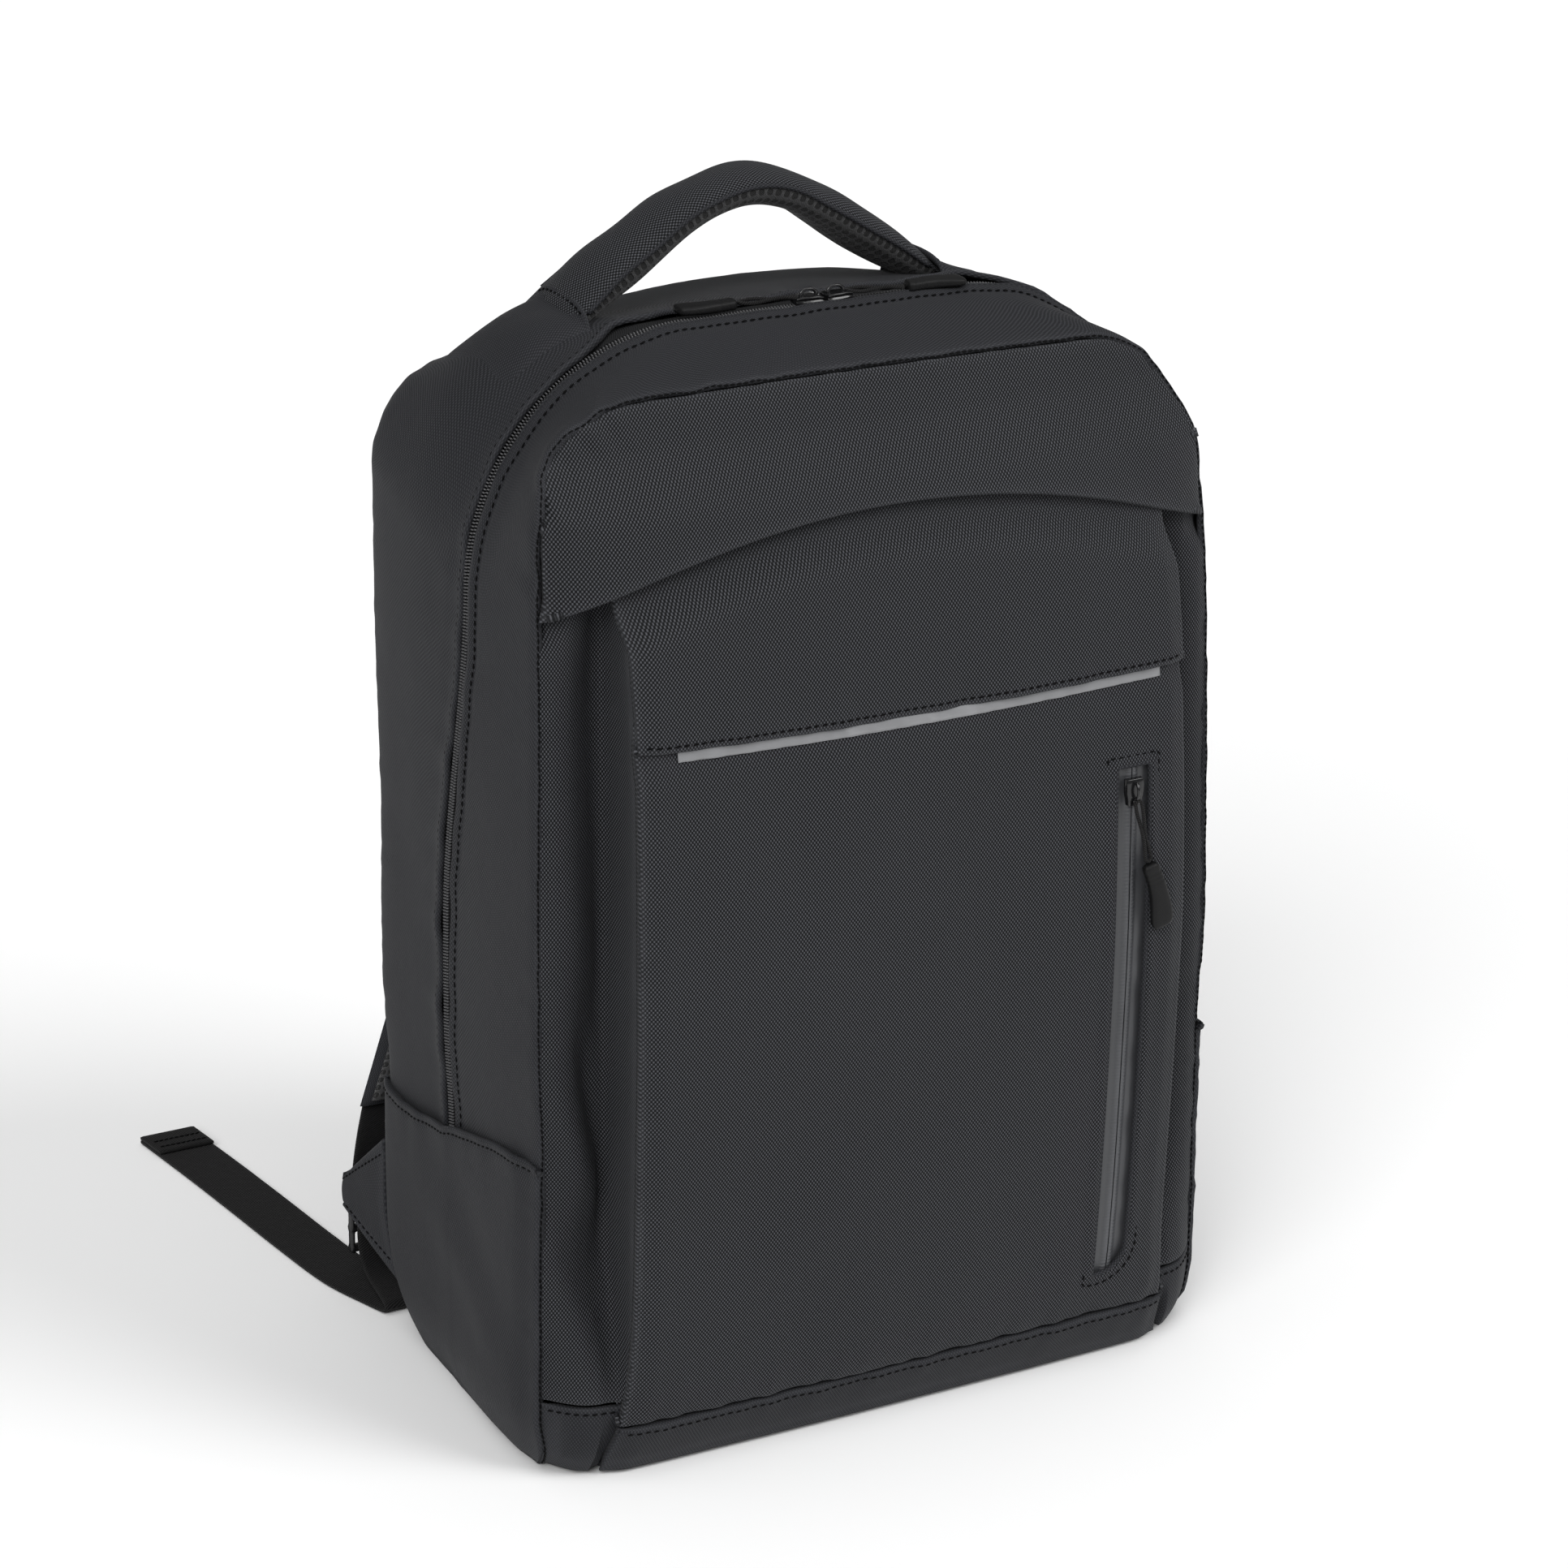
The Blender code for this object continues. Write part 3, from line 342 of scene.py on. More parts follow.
def clothPiece(name, grid, material, nodes=(), edges=(), radius=0.0012, tail=0.0015, wall=None, cut=None):
    # grid runs rows by columns and is turned to face away from the bag's middle
    turned = np.mean(np.sum(gridNormals(grid) * (grid - np.array(bag["middle"])), axis=-1)) < 0
    if turned:
        grid = grid[:, ::-1]
        swap = {"left": "right", "right": "left"}
        edges = [swap.get(edge, edge) for edge in edges]
    for edge in edges:
        grid = rollEdge(grid, edge, radius, tail)
    flat = None  # the weave runs upright on the front, and square to the seam in the pleats
    if cut == "front":
        flat = grid[..., ::2].copy()
        if "low" in edges:  # the turned rows keep the cloth's own length
            for row in (3, 2, 1, 0):
                flat[row, :, 1] = flat[row + 1, :, 1] - np.linalg.norm(grid[row] - grid[row + 1], axis=-1)
    elif cut == "pleat":
        climb = runLength(grid, 0) - (grid[..., 2] - grid[:1, :, 2])
        run = runLength(grid, 1)
        run = run - run[:, -1:] if turned else run  # counted from the seam, which is the part that shows
        flat = np.stack((run, grid[..., 2] + climb.mean(axis=1, keepdims=True)), axis=-1)
    piece = gridPiece(name, grid, flat)
    reach = np.minimum.outer(fromEnds(grid.shape[0]), fromEnds(grid.shape[1]))
    edge = np.exp(-np.maximum(reach - edgeRub["full"], 0.0) / edgeRub["fade"])
    layer = piece.data.attributes.new("edge", "FLOAT", "POINT")
    layer.data.foreach_set("value", edge.ravel().astype(np.float32))
    addModifier(piece, "wall", "SOLIDIFY", thickness=wall or bag["wall"], offset=-1.0)
    applyModifiers(piece)
    return finishPiece(piece, material, nodes)


def tubePiece(name, rings, material, nodes=(), capped=True):
    # closed rings of points, joined into one skin with its ends filled
    rings = np.asarray(rings, float)
    piece = gridPiece(name, np.concatenate((rings, rings[:, :1]), axis=1))
    pick(piece)
    bpy.ops.object.mode_set(mode="EDIT")
    bpy.ops.mesh.select_all(action="SELECT")
    bpy.ops.mesh.remove_doubles(threshold=0.00001)
    if capped:
        bpy.ops.mesh.select_all(action="DESELECT")
        bpy.ops.mesh.select_mode(type="EDGE")
        bpy.ops.mesh.select_non_manifold()
        bpy.ops.mesh.edge_face_add()
        bpy.ops.mesh.select_all(action="SELECT")
        bpy.ops.mesh.fill_holes(sides=0)
    bpy.ops.mesh.select_all(action="SELECT")
    bpy.ops.mesh.normals_make_consistent(inside=False)
    bpy.ops.object.mode_set(mode="OBJECT")
    return finishPiece(piece, material, nodes)


def pathFrames(points, out):  # along, across and out of the surface at each point
    points, out = np.asarray(points, float), np.asarray(out, float)
    along = unit(np.gradient(points, axis=0))
    wide = unit(np.cross(out, along))
    return along, wide, np.cross(along, wide)


def evenly(points, step, start=0.0, extras=()):  # points every step along a path, with other rows kept
    points = np.asarray(points, float)
    run = pathRun(points)
    marks = np.arange(start + step / 2, run[-1], step)
    return [np.stack([np.interp(marks, run, row[:, i]) for i in range(3)], axis=1)
            for row in (points, *[np.asarray(extra, float) for extra in extras])]


def copiesPiece(name, seedMaker, centres, along, wide, out, material, nodes=()):
    # one small shape modelled once and copied along a run, each copy with its own points
    seedMaker()
    seed = bpy.context.object
    bpy.ops.object.transform_apply(location=True, rotation=True, scale=True)
    shape = np.empty(len(seed.data.vertices) * 3)
    seed.data.vertices.foreach_get("co", shape)
    shape = shape.reshape(-1, 3)
    faces = [tuple(polygon.vertices) for polygon in seed.data.polygons]
    bpy.data.objects.remove(seed, do_unlink=True)
    count = len(shape)
    points = (centres[:, None, :] + shape[None, :, 0:1] * along[:, None, :]
              + shape[None, :, 1:2] * wide[:, None, :] + shape[None, :, 2:3] * out[:, None, :])
    mesh = bpy.data.meshes.new(name)
    mesh.from_pydata(points.reshape(-1, 3).tolist(), [],
                     [tuple(v + i * count for v in face) for i in range(len(centres)) for face in faces])
    mesh.update()
    piece = bpy.data.objects.new(name, mesh)
    bpy.context.scene.collection.objects.link(piece)
    setUv(piece, np.tile(shape[:, :2], (len(centres), 1)))
    return finishPiece(piece, material, nodes)


thread = {"length": 0.0025, "pitch": 0.0035, "thick": 0.00046, "lift": 0.00026, "slant": 0.10}


def threadSeed():
    deselect()
    bpy.ops.mesh.primitive_uv_sphere_add(segments=6, ring_count=4, radius=1.0)
    bpy.ops.transform.resize(value=(thread["length"] / 2, thread["thick"], thread["thick"] * 0.6))


def stitchLine(name, points, normals, pitch=None):
    centres, out = evenly(points, pitch or thread["pitch"], extras=(normals,))
    along, wide, out = pathFrames(centres, unit(out))
    tilted = unit(along + wide * thread["slant"])
    copiesPiece(name, threadSeed, centres + out * thread["lift"], tilted, unit(np.cross(out, tilted)), out,
                threadBlack)


def outwardNormals(grid):
    normals = gridNormals(grid)
    away = np.sum(normals * (grid - np.array(bag["middle"])), axis=-1)
    return normals * np.sign(np.mean(away))


def raised(grid, relief):  # the grid pushed out of its face by the relief
    return grid + outwardNormals(grid) * relief[..., None]


def edgeLine(grid, edge, away):  # points and normals at a set distance in from one edge
    if edge in ("low", "high"):
        grid = np.swapaxes(grid, 0, 1)
    run = runLength(grid, 1)
    if edge in ("right", "high"):
        run = run[:, -1:] - run
    points, facing = [], []
    for line, face, far in zip(grid, outwardNormals(grid), run):
        order = np.argsort(far)
        points.append([np.interp(away, far[order], line[order, i]) for i in range(3)])
        facing.append([np.interp(away, far[order], face[order, i]) for i in range(3)])
    return np.array(points), unit(np.array(facing))


def hemStitches(name, grid, away, edge="high", first=1, last=-1):
    line, face = edgeLine(grid, edge, away)
    stitchLine(name, line[first:last], face[first:last])


# materials

def addNode(tree, kind, place, inputs=None, **settings):
    node = tree.nodes.new(kind)
    node.location = (place[0] * 190, place[1] * -170)
    for key, value in settings.items():
        setattr(node, key, value)
    for key, value in (inputs or {}).items():
        node.inputs[key].default_value = value
    return node


def addMath(tree, operation, place, first, second=None, third=None):
    node = addNode(tree, "ShaderNodeMath", place, operation=operation)
    for i, value in enumerate((first, second, third)):
        if value is None:
            continue
        if isinstance(value, (int, float)):
            node.inputs[i].default_value = value
        else:
            tree.links.new(value, node.inputs[i])
    return node.outputs[0]


def opaque(colour):
    return (*colour, 1.0)


def newGroup(name, inputs, outputs):
    group = bpy.data.node_groups.new(name, "ShaderNodeTree")
    kinds = {"vector": "NodeSocketVector", "value": "NodeSocketFloat", "colour": "NodeSocketColor"}
    for word, kind, start in inputs:
        made = group.interface.new_socket(word, in_out="INPUT", socket_type=kinds[kind])
        if start is not None:
            made.default_value = start
    for word, kind in outputs:
        group.interface.new_socket(word, in_out="OUTPUT", socket_type=kinds[kind])
    return group, addNode(group, "NodeGroupInput", (-5, 0)), addNode(group, "NodeGroupOutput", (6, 0))


def makeWeaveGroup():  # staggered yarn crowns, or a slanted twill, with a little yarn unevenness
    group, start, end = newGroup(
        "yarnWeave",
        (("Vector", "vector", None), ("Across", "value", 770.0), ("Down", "value", 1150.0),
         ("Twill", "value", 0.0), ("Uneven", "value", 0.5)),
        (("Height", "value"), ("Yarn", "value")))
    link = group.links.new
    noise = addNode(group, "ShaderNodeTexNoise", (-4, 2), {"Scale": 320.0, "Detail": 2.0})
    link(start.outputs["Vector"], noise.inputs["Vector"])
    split = addNode(group, "ShaderNodeSeparateXYZ", (-4, 0))
    link(start.outputs["Vector"], split.inputs[0])
    bend = addMath(group, "MULTIPLY", (-3, 2), noise.outputs["Fac"], start.outputs["Uneven"])
    across = addMath(group, "MULTIPLY_ADD", (-2, 0), split.outputs["X"], start.outputs["Across"], bend)
    down = addMath(group, "MULTIPLY_ADD", (-2, 1), split.outputs["Y"], start.outputs["Down"], bend)
    turnX = addMath(group, "MULTIPLY", (-1, 0), across, 2 * math.pi)
    turnY = addMath(group, "MULTIPLY", (-1, 1), down, 2 * math.pi)
    waveX = addMath(group, "SINE", (0, 0), turnX)
    waveY = addMath(group, "SINE", (0, 1), turnY)
    crowns = addMath(group, "MULTIPLY", (1, 0), waveX, waveY)
    slanted = addMath(group, "SINE", (1, 1), addMath(group, "ADD", (0, 2), turnX, turnY))
    blend = addNode(group, "ShaderNodeMix", (2, 0), data_type="FLOAT")
    link(start.outputs["Twill"], blend.inputs[0])
    link(crowns, blend.inputs[2])
    link(slanted, blend.inputs[3])
    height = addMath(group, "MULTIPLY_ADD", (3, 0), blend.outputs[0], 0.5, 0.5)
    yarn = addNode(group, "ShaderNodeMapRange", (4, 1), {"From Min": 0.35, "From Max": 0.95},
                   interpolation_type="SMOOTHSTEP")
    link(height, yarn.inputs["Value"])
    link(height, end.inputs["Height"])
    link(yarn.outputs["Result"], end.inputs["Yarn"])
    return group


def makeWearGroup():  # rubbed edges and a slow change of tone
    group, start, end = newGroup(
        "edgeWear",
        (("Colour", "colour", None), ("Worn", "colour", (0.10, 0.10, 0.105, 1.0)), ("Amount", "value", 0.3),
         ("Tone", "value", 0.12)),
        (("Colour", "colour"),))
    link = group.links.new
    place = addNode(group, "ShaderNodeTexCoord", (-5, 2))
    edge = addNode(group, "ShaderNodeAttribute", (-4, 1), attribute_name="edge")
    patch = addNode(group, "ShaderNodeTexNoise", (-4, 2), {"Scale": 70.0, "Detail": 3.0})
    slow = addNode(group, "ShaderNodeTexNoise", (-4, 3), {"Scale": 9.0, "Detail": 2.0})
    link(place.outputs["Object"], patch.inputs["Vector"])
    link(place.outputs["Object"], slow.inputs["Vector"])
    rubbed = addMath(group, "MULTIPLY", (-2, 1), edge.outputs["Fac"], patch.outputs["Fac"])
    mask = addMath(group, "MULTIPLY", (-1, 1), rubbed, start.outputs["Amount"])
    worn = addNode(group, "ShaderNodeMix", (0, 0), data_type="RGBA")
    link(mask, worn.inputs[0])
    link(start.outputs["Colour"], worn.inputs[6])
    link(start.outputs["Worn"], worn.inputs[7])
    centred = addMath(group, "SUBTRACT", (-2, 3), slow.outputs["Fac"], 0.5)
    swing = addMath(group, "MULTIPLY_ADD", (-1, 3), centred, start.outputs["Tone"], 1.0)
    toned = addNode(group, "ShaderNodeVectorMath", (2, 0), operation="SCALE")
    link(worn.outputs[2], toned.inputs[0])
    link(swing, toned.inputs["Scale"])
    link(toned.outputs[0], end.inputs["Colour"])
    return group


weaveGroup = makeWeaveGroup()
wearGroup = makeWearGroup()


def newMaterial(name, colour, roughness, **others):
    made = bpy.data.materials.new(name)
    made.use_nodes = True
    shader = made.node_tree.nodes["Principled BSDF"]
    shader.inputs["Base Color"].default_value = opaque(colour)
    shader.inputs["Roughness"].default_value = roughness
    for key, value in others.items():
        shader.inputs[key.replace("_", " ")].default_value = value
    made.diffuse_color = opaque(colour)
    return made, made.node_tree, shader


def linkBump(tree, shader, height, place, strength, distance, under=None):
    bump = addNode(tree, "ShaderNodeBump", place, {"Strength": strength, "Distance": distance})
    tree.links.new(height, bump.inputs["Height"])
    if under:
        tree.links.new(under.outputs["Normal"], bump.inputs["Normal"])
    if shader:
        tree.links.new(bump.outputs["Normal"], shader.inputs["Normal"])
    return bump


def linkGloss(tree, shader, value, place, low, high):  # roughness runs from low to high with the value
    gloss = addNode(tree, "ShaderNodeMapRange", place, {"To Min": low, "To Max": high})
    tree.links.new(value, gloss.inputs["Value"])
    tree.links.new(gloss.outputs["Result"], shader.inputs["Roughness"])


def addNoise(tree, place, scale, detail):  # on Object coordinates
    noise = addNode(tree, "ShaderNodeTexNoise", place, {"Scale": scale, "Detail": detail})
    spot = addNode(tree, "ShaderNodeTexCoord", (place[0] - 2, place[1]))
    tree.links.new(spot.outputs["Object"], noise.inputs["Vector"])
    return noise.outputs["Fac"]


def addWeave(tree, place, **inputs):  # the yarn weave on the cloth's own UV map
    weave = addNode(tree, "ShaderNodeGroup", place, inputs, node_tree=weaveGroup)
    uv = addNode(tree, "ShaderNodeUVMap", (place[0] - 2, place[1]), uv_map="cloth")
    tree.links.new(uv.outputs["UV"], weave.inputs["Vector"])
    return weave.outputs


def addBlend(tree, place, share, low, high):  # between two colours
    blend = addNode(tree, "ShaderNodeMix", place, {6: opaque(low), 7: opaque(high)}, data_type="RGBA")
    tree.links.new(share, blend.inputs[0])
    return blend


def addWear(tree, place, worn, amount, tone, **inputs):
    inputs.update(Worn=opaque(worn), Amount=amount, Tone=tone)
    return addNode(tree, "ShaderNodeGroup", place, inputs, node_tree=wearGroup)


softBump = {"detail": 3.0, "strength": 0.30, "distance": 0.0012}
weaveBump = {"distance": 0.00035, "grooveRougher": 0.10, "sheenRoughness": 0.45}


def clothMaterial(name, values):
    made, tree, shader = newMaterial(name, values["groove"], values["roughness"],
                                     Sheen_Weight=values["sheen"], Specular_IOR_Level=values["specular"],
                                     Sheen_Roughness=weaveBump["sheenRoughness"])
    weave = addWeave(tree, (-5, 1), Across=values["across"], Down=values["down"], Twill=values["twill"],
                     Uneven=values["uneven"])
    # the weave's grooves take the dark groove colour: partly the weave's pattern, partly painted shade
    # between the yarn crowns
    yarns = addBlend(tree, (-3, 0), weave["Yarn"], values["groove"], values["yarn"])
    wear = addWear(tree, (-1, 0), values["worn"], values["wear"], values["tone"])
    tree.links.new(yarns.outputs[2], wear.inputs["Colour"])
    tree.links.new(wear.outputs["Colour"], shader.inputs["Base Color"])
    linkGloss(tree, shader, weave["Yarn"], (-1, 2), values["roughness"] + weaveBump["grooveRougher"],
              values["roughness"])
    crumple = addNoise(tree, (-5, 4), values["crumple"], softBump["detail"])
    soft = linkBump(tree, None, crumple, (-3, 4), softBump["strength"], softBump["distance"])
    linkBump(tree, shader, weave["Height"], (-1, 4), values["bump"], weaveBump["distance"], soft)
    return made


# groove: the colour between the yarn crowns, far darker than the yarn; partly the weave's pattern, partly
# painted shade in its grooves
frontCanvas = {
    "groove": (0.0045, 0.0048, 0.0055),
    "yarn": (0.0780, 0.0804, 0.0888),
    "worn": (0.0980, 0.1005, 0.1090),
    "across": 1 / 0.00136,
    "down": 1 / 0.00180,
    "twill": 0.0,
    "uneven": 0.20,
    "roughness": 0.58,
    "specular": 0.10,
    "sheen": 0.03,
    "wear": 0.30,
    "tone": 0.20,
    "crumple": 60.0,
    "bump": 0.75,
}
sideCanvas = dict(frontCanvas, groove=(0.0145, 0.0150, 0.0172), yarn=(0.0405, 0.0415, 0.0465),
                  worn=(0.0700, 0.0716, 0.0790), across=1 / 0.00130, down=1 / 0.00190, twill=0.30, bump=0.60)
webCloth = dict(frontCanvas, groove=(0.0036, 0.0036, 0.0037), yarn=(0.0176, 0.0168, 0.0173),
                worn=(0.030, 0.029, 0.029), across=1 / 0.0021, down=1 / 0.0011, twill=0.85, uneven=0.3,
                roughness=0.72, specular=0.2, bump=0.9, crumple=220.0)
tapeCloth = dict(frontCanvas, groove=(0.0050, 0.0051, 0.0055), yarn=(0.0160, 0.0164, 0.0178),
                 worn=(0.034, 0.035, 0.038), across=1 / 0.0009, down=1 / 0.0009, twill=0.7,
                 roughness=0.60, specular=0.12, bump=0.7, crumple=120.0)

canvasFront = clothMaterial("canvasFront", frontCanvas)
canvasSide = clothMaterial("canvasSide", sideCanvas)
webbingBlack = clothMaterial("webbingBlack", webCloth)
tapeBlack = clothMaterial("tapeBlack", tapeCloth)

airMesh = {
    "pitch": 0.0042,
    "thread": (0.0480, 0.0480, 0.0500),
    "threadShade": 0.5,
    # near-black colour for the holes: painted shade inside the holes
    "hole": (0.0008, 0.0008, 0.0009),
    "holeRim": (0.30, 0.62),
    "holeUneven": 0.08,
    "knitTwill": 0.3,
    "knitHeight": 0.15,
    "deep": 0.0012,
    "roughness": 0.75,
    "sheen": 0.15,
    "specular": 0.35,
}


def meshMaterial(name, values):  # knitted spacer mesh with staggered holes
    made, tree, shader = newMaterial(name, values["thread"], values["roughness"],
                                     Sheen_Weight=values["sheen"], Specular_IOR_Level=values["specular"])
    pitch = values["pitch"]
    holes = addWeave(tree, (-6, 0), Across=0.5 / pitch, Down=0.62 / pitch, Uneven=values["holeUneven"])
    knit = addWeave(tree, (-6, 2), Across=5.0 / pitch, Down=4.0 / pitch, Twill=values["knitTwill"])
    swing = addMath(tree, "MULTIPLY_ADD", (-5, 0), holes["Height"], 2.0, -1.0)
    far = addMath(tree, "ABSOLUTE", (-4, 0), swing)
    rim = addNode(tree, "ShaderNodeMapRange", (-3, 0), dict(zip(("From Min", "From Max"), values["holeRim"])),
                  interpolation_type="SMOOTHSTEP")
    tree.links.new(far, rim.inputs["Value"])
    shaded = [values["threadShade"] * level for level in values["thread"]]
    # the knit's grooves take the thread colour darkened by threadShade: painted shade between the knit's
    # threads
    threads = addBlend(tree, (-3, 2), knit["Yarn"], shaded, values["thread"])
    # towards each hole's middle the colour goes to near black: painted shade in the holes
    holed = addBlend(tree, (-1, 1), rim.outputs["Result"], shaded, values["hole"])
    tree.links.new(threads.outputs[2], holed.inputs[6])
    tree.links.new(holed.outputs[2], shader.inputs["Base Color"])
    deep = addMath(tree, "MULTIPLY", (-2, 4), rim.outputs["Result"], -1.0)
    fine = addMath(tree, "MULTIPLY_ADD", (-1, 4), knit["Height"], values["knitHeight"], deep)
    linkBump(tree, shader, fine, (0, 4), 1.0, values["deep"])
    return made


meshBlack = meshMaterial("meshBlack", airMesh)

moulded = {
    "grainDetail": 4.0,
    "smear": (90.0, 3.0),
    "smooth": 0.8,
    "rough": 1.3,
    "wornLighter": 3.0,
    "wear": 0.3,
    "tone": 0.5,
    "grainDeep": 0.0002,
}


def mouldedMaterial(name, colour, roughness, grain, grainStrength, **others):
    made, tree, shader = newMaterial(name, colour, roughness, **others)
    wear = addWear(tree, (-2, 0), [moulded["wornLighter"] * level for level in colour], moulded["wear"],
                   moulded["tone"], Colour=opaque(colour))
    tree.links.new(wear.outputs["Colour"], shader.inputs["Base Color"])
    smear = addNoise(tree, (-4, 3), *moulded["smear"])
    low, high = roughness * moulded["smooth"], min(1.0, roughness * moulded["rough"])
    linkGloss(tree, shader, smear, (-2, 3), low, high)
    fine = addNoise(tree, (-4, 2), grain, moulded["grainDetail"])
    linkBump(tree, shader, fine, (-1, 4), grainStrength, moulded["grainDeep"])
    return made


sliderGloss = mouldedMaterial("sliderGloss", (0.006, 0.006, 0.0066), 0.20, 900.0, 0.15, Coat_Weight=0.25,
                              Specular_IOR_Level=0.40)
rubberBlack = mouldedMaterial("rubberBlack", (0.0045, 0.0045, 0.0048), 0.50, 1800.0, 0.6,
                              Specular_IOR_Level=0.22)
plasticBlack = mouldedMaterial("plasticBlack", (0.007, 0.007, 0.0076), 0.30, 1500.0, 0.3)
coilNylon = mouldedMaterial("coilNylon", (0.065, 0.065, 0.068), 0.24, 1200.0, 0.2)
threadBlack = mouldedMaterial("threadBlack", (0.0015, 0.0015, 0.0017), 0.60, 4000.0, 0.8,
                              Specular_IOR_Level=0.08)
cordBlack = clothMaterial("cordBlack", dict(webCloth, across=1 / 0.0012, down=1 / 0.0009, twill=1.0))
coatedTape = mouldedMaterial("coatedTape", (0.046, 0.0473, 0.0513), 0.36, 700.0, 0.35)
reflectiveTape = mouldedMaterial("reflectiveTape", (0.170, 0.172, 0.178), 0.40, 1400.0, 0.25, Metallic=0.15)
print("materials made")


# walls

gusset = {
    "columns": 28,
    "step": 0.0032,
    "wobble": 0.0009,
    "wobbleSize": 0.13,
    "hemWidth": 0.0060,
    "hemPuff": 0.0008,
    "hemGroove": 0.0007,
    "seamSwing": 0.0012,
    "seamWaves": (0.0230, 0.0137),
    "seamDeep": 0.0013,
    "coverSide": 0.58,
    "coverCorner": 0.80,
    # puckers along the seams: wave, height, reach, seed
    "backPucker": (0.018, 0.0003, 0.010, 5),
    "rearZipPucker": (0.034, 0.0006, 0.012, 6),
    "frontPucker": (0.017, 0.00022, 0.009, 7),
    "cornerPucker": (0.021, 0.0006, 0.014, 8),
    "frontZipPucker": (0.040, 0.0004, 0.014, 9),
}

# soft dents and folds on the two sides: start and end as depth and height, width, relief
leftFolds = (
    ((-0.070, 0.030), (0.030, 0.085), 0.012, 0.0014),
    ((-0.065, 0.055), (0.020, 0.110), 0.014, -0.0014),
    ((0.010, 0.200), (0.066, 0.235), 0.018, -0.0010),
    ((0.000, 0.330), (0.060, 0.300), 0.020, 0.0012),
)
rightFolds = (
    ((-0.078, 0.082), (0.000, 0.076), 0.011, -0.0026),
    ((-0.078, 0.180), (0.000, 0.186), 0.016, 0.0012),
    ((-0.078, 0.055), (0.010, 0.062), 0.010, 0.0014),
    ((-0.078, 0.225), (-0.010, 0.210), 0.014, -0.0014),
    ((-0.070, 0.330), (0.000, 0.310), 0.016, -0.0014),
)


def risesAlong(place, step):  # rises from the left foot over the crown to the right foot, evenly spaced
    dense = np.linspace(0.0, 1.0, 4001)
    points = wallPoint(place, dense, 1.0)
    run = pathRun(points)
    half = np.interp(np.linspace(0.0, run[-1], int(run[-1] / step) + 1), run, dense)
    rises = np.concatenate((half, half[-2::-1]))
    sides = np.concatenate((-np.ones(len(half)), np.ones(len(half) - 1)))
    return rises[:, None], sides[:, None]


wallRises, wallSides = risesAlong(0.3, gusset["step"])


def gussetGrid(start, end):
    return wallPoint(mix(start, end, np.linspace(0.0, 1.0, gusset["columns"])[None, :]), wallRises, wallSides)


def rearReach():  # the rear wall's edge closes in on the zip at the sides and most at the two top corners
    edge = wallPoint(wallForm["rearEdge"], wallRises, wallSides)
    cover = mix(gusset["coverSide"], gusset["coverCorner"], smoothStep(0.24, 0.34, edge[..., 2]))
    cover = cover * smoothStep(0.078, 0.104, np.abs(edge[..., 0]))
    return mix(wallForm["rearEdge"], wallForm["chainPlace"], cover)


def sideFolds(grid):
    points = grid[..., 1:]
    folds = np.where(grid[..., 0] > 0, creases(points, rightFolds), creases(points, leftFolds))
    return folds * smoothStep(0.0, 0.02, grid[..., 2])


def offFloor(z):  # relief fades out close to the floor
    return smoothStep(0.0, 0.006, z)


def makeRearGusset():
    values = gusset
    grid = gussetGrid(0.0, rearReach())
    along, toBack = runLength(grid, 0), runLength(grid, 1)
    toZip = toBack[:, -1:] - toBack
    relief = values["wobble"] * wander(grid, values["wobbleSize"], 11) * smoothStep(0.0, 0.012, toZip)
    relief += sideFolds(grid) * 0.6
    relief += 0.0011 * np.exp(-(toZip / 0.0035) ** 2)
    relief += pucker(along, toBack, *values["backPucker"])
    relief += pucker(along, toZip, *values["rearZipPucker"])
    relief += handleShoulder(grid)
    grid = raised(grid, relief * offFloor(grid[..., 2]))
    clothPiece("rearWall", grid, canvasSide, ("rear_gusset",), ("left", "right"), 0.0009)
    points, facing = edgeLine(grid, "right", 0.0022)
    stitchLine("rearZipStitches", points - facing * 0.0004, facing)


handleBase = {"x": (-0.112, 0.085), "y": 0.022, "rise": 0.0050, "long": 0.030, "wide": 0.030}


def handleShoulder(grid):  # the top swells up to meet each end of the handle
    x, y, z = grid[..., 0], grid[..., 1], grid[..., 2]
    total = np.zeros_like(x)
    for centre in handleBase["x"]:
        away = ((x - centre) / handleBase["long"]) ** 2 + ((y - handleBase["y"]) / handleBase["wide"]) ** 2
        total += handleBase["rise"] * np.exp(-away)
    return total * smoothStep(0.36, 0.40, z)


def seamWave(x, z):  # how the front seam swings where it rounds the two top corners
    run = np.abs(x) + z
    long, short = gusset["seamWaves"]
    swing = np.sin(2 * math.pi * run / long) + 0.5 * np.sin(2 * math.pi * run / short + 1.0)
    corner = np.exp(-((np.abs(x) - 0.128) / 0.026) ** 2 - ((z - 0.385) / 0.034) ** 2)
    return gusset["seamSwing"] * swing * corner * np.where(x < 0, 1.0, 0.5)


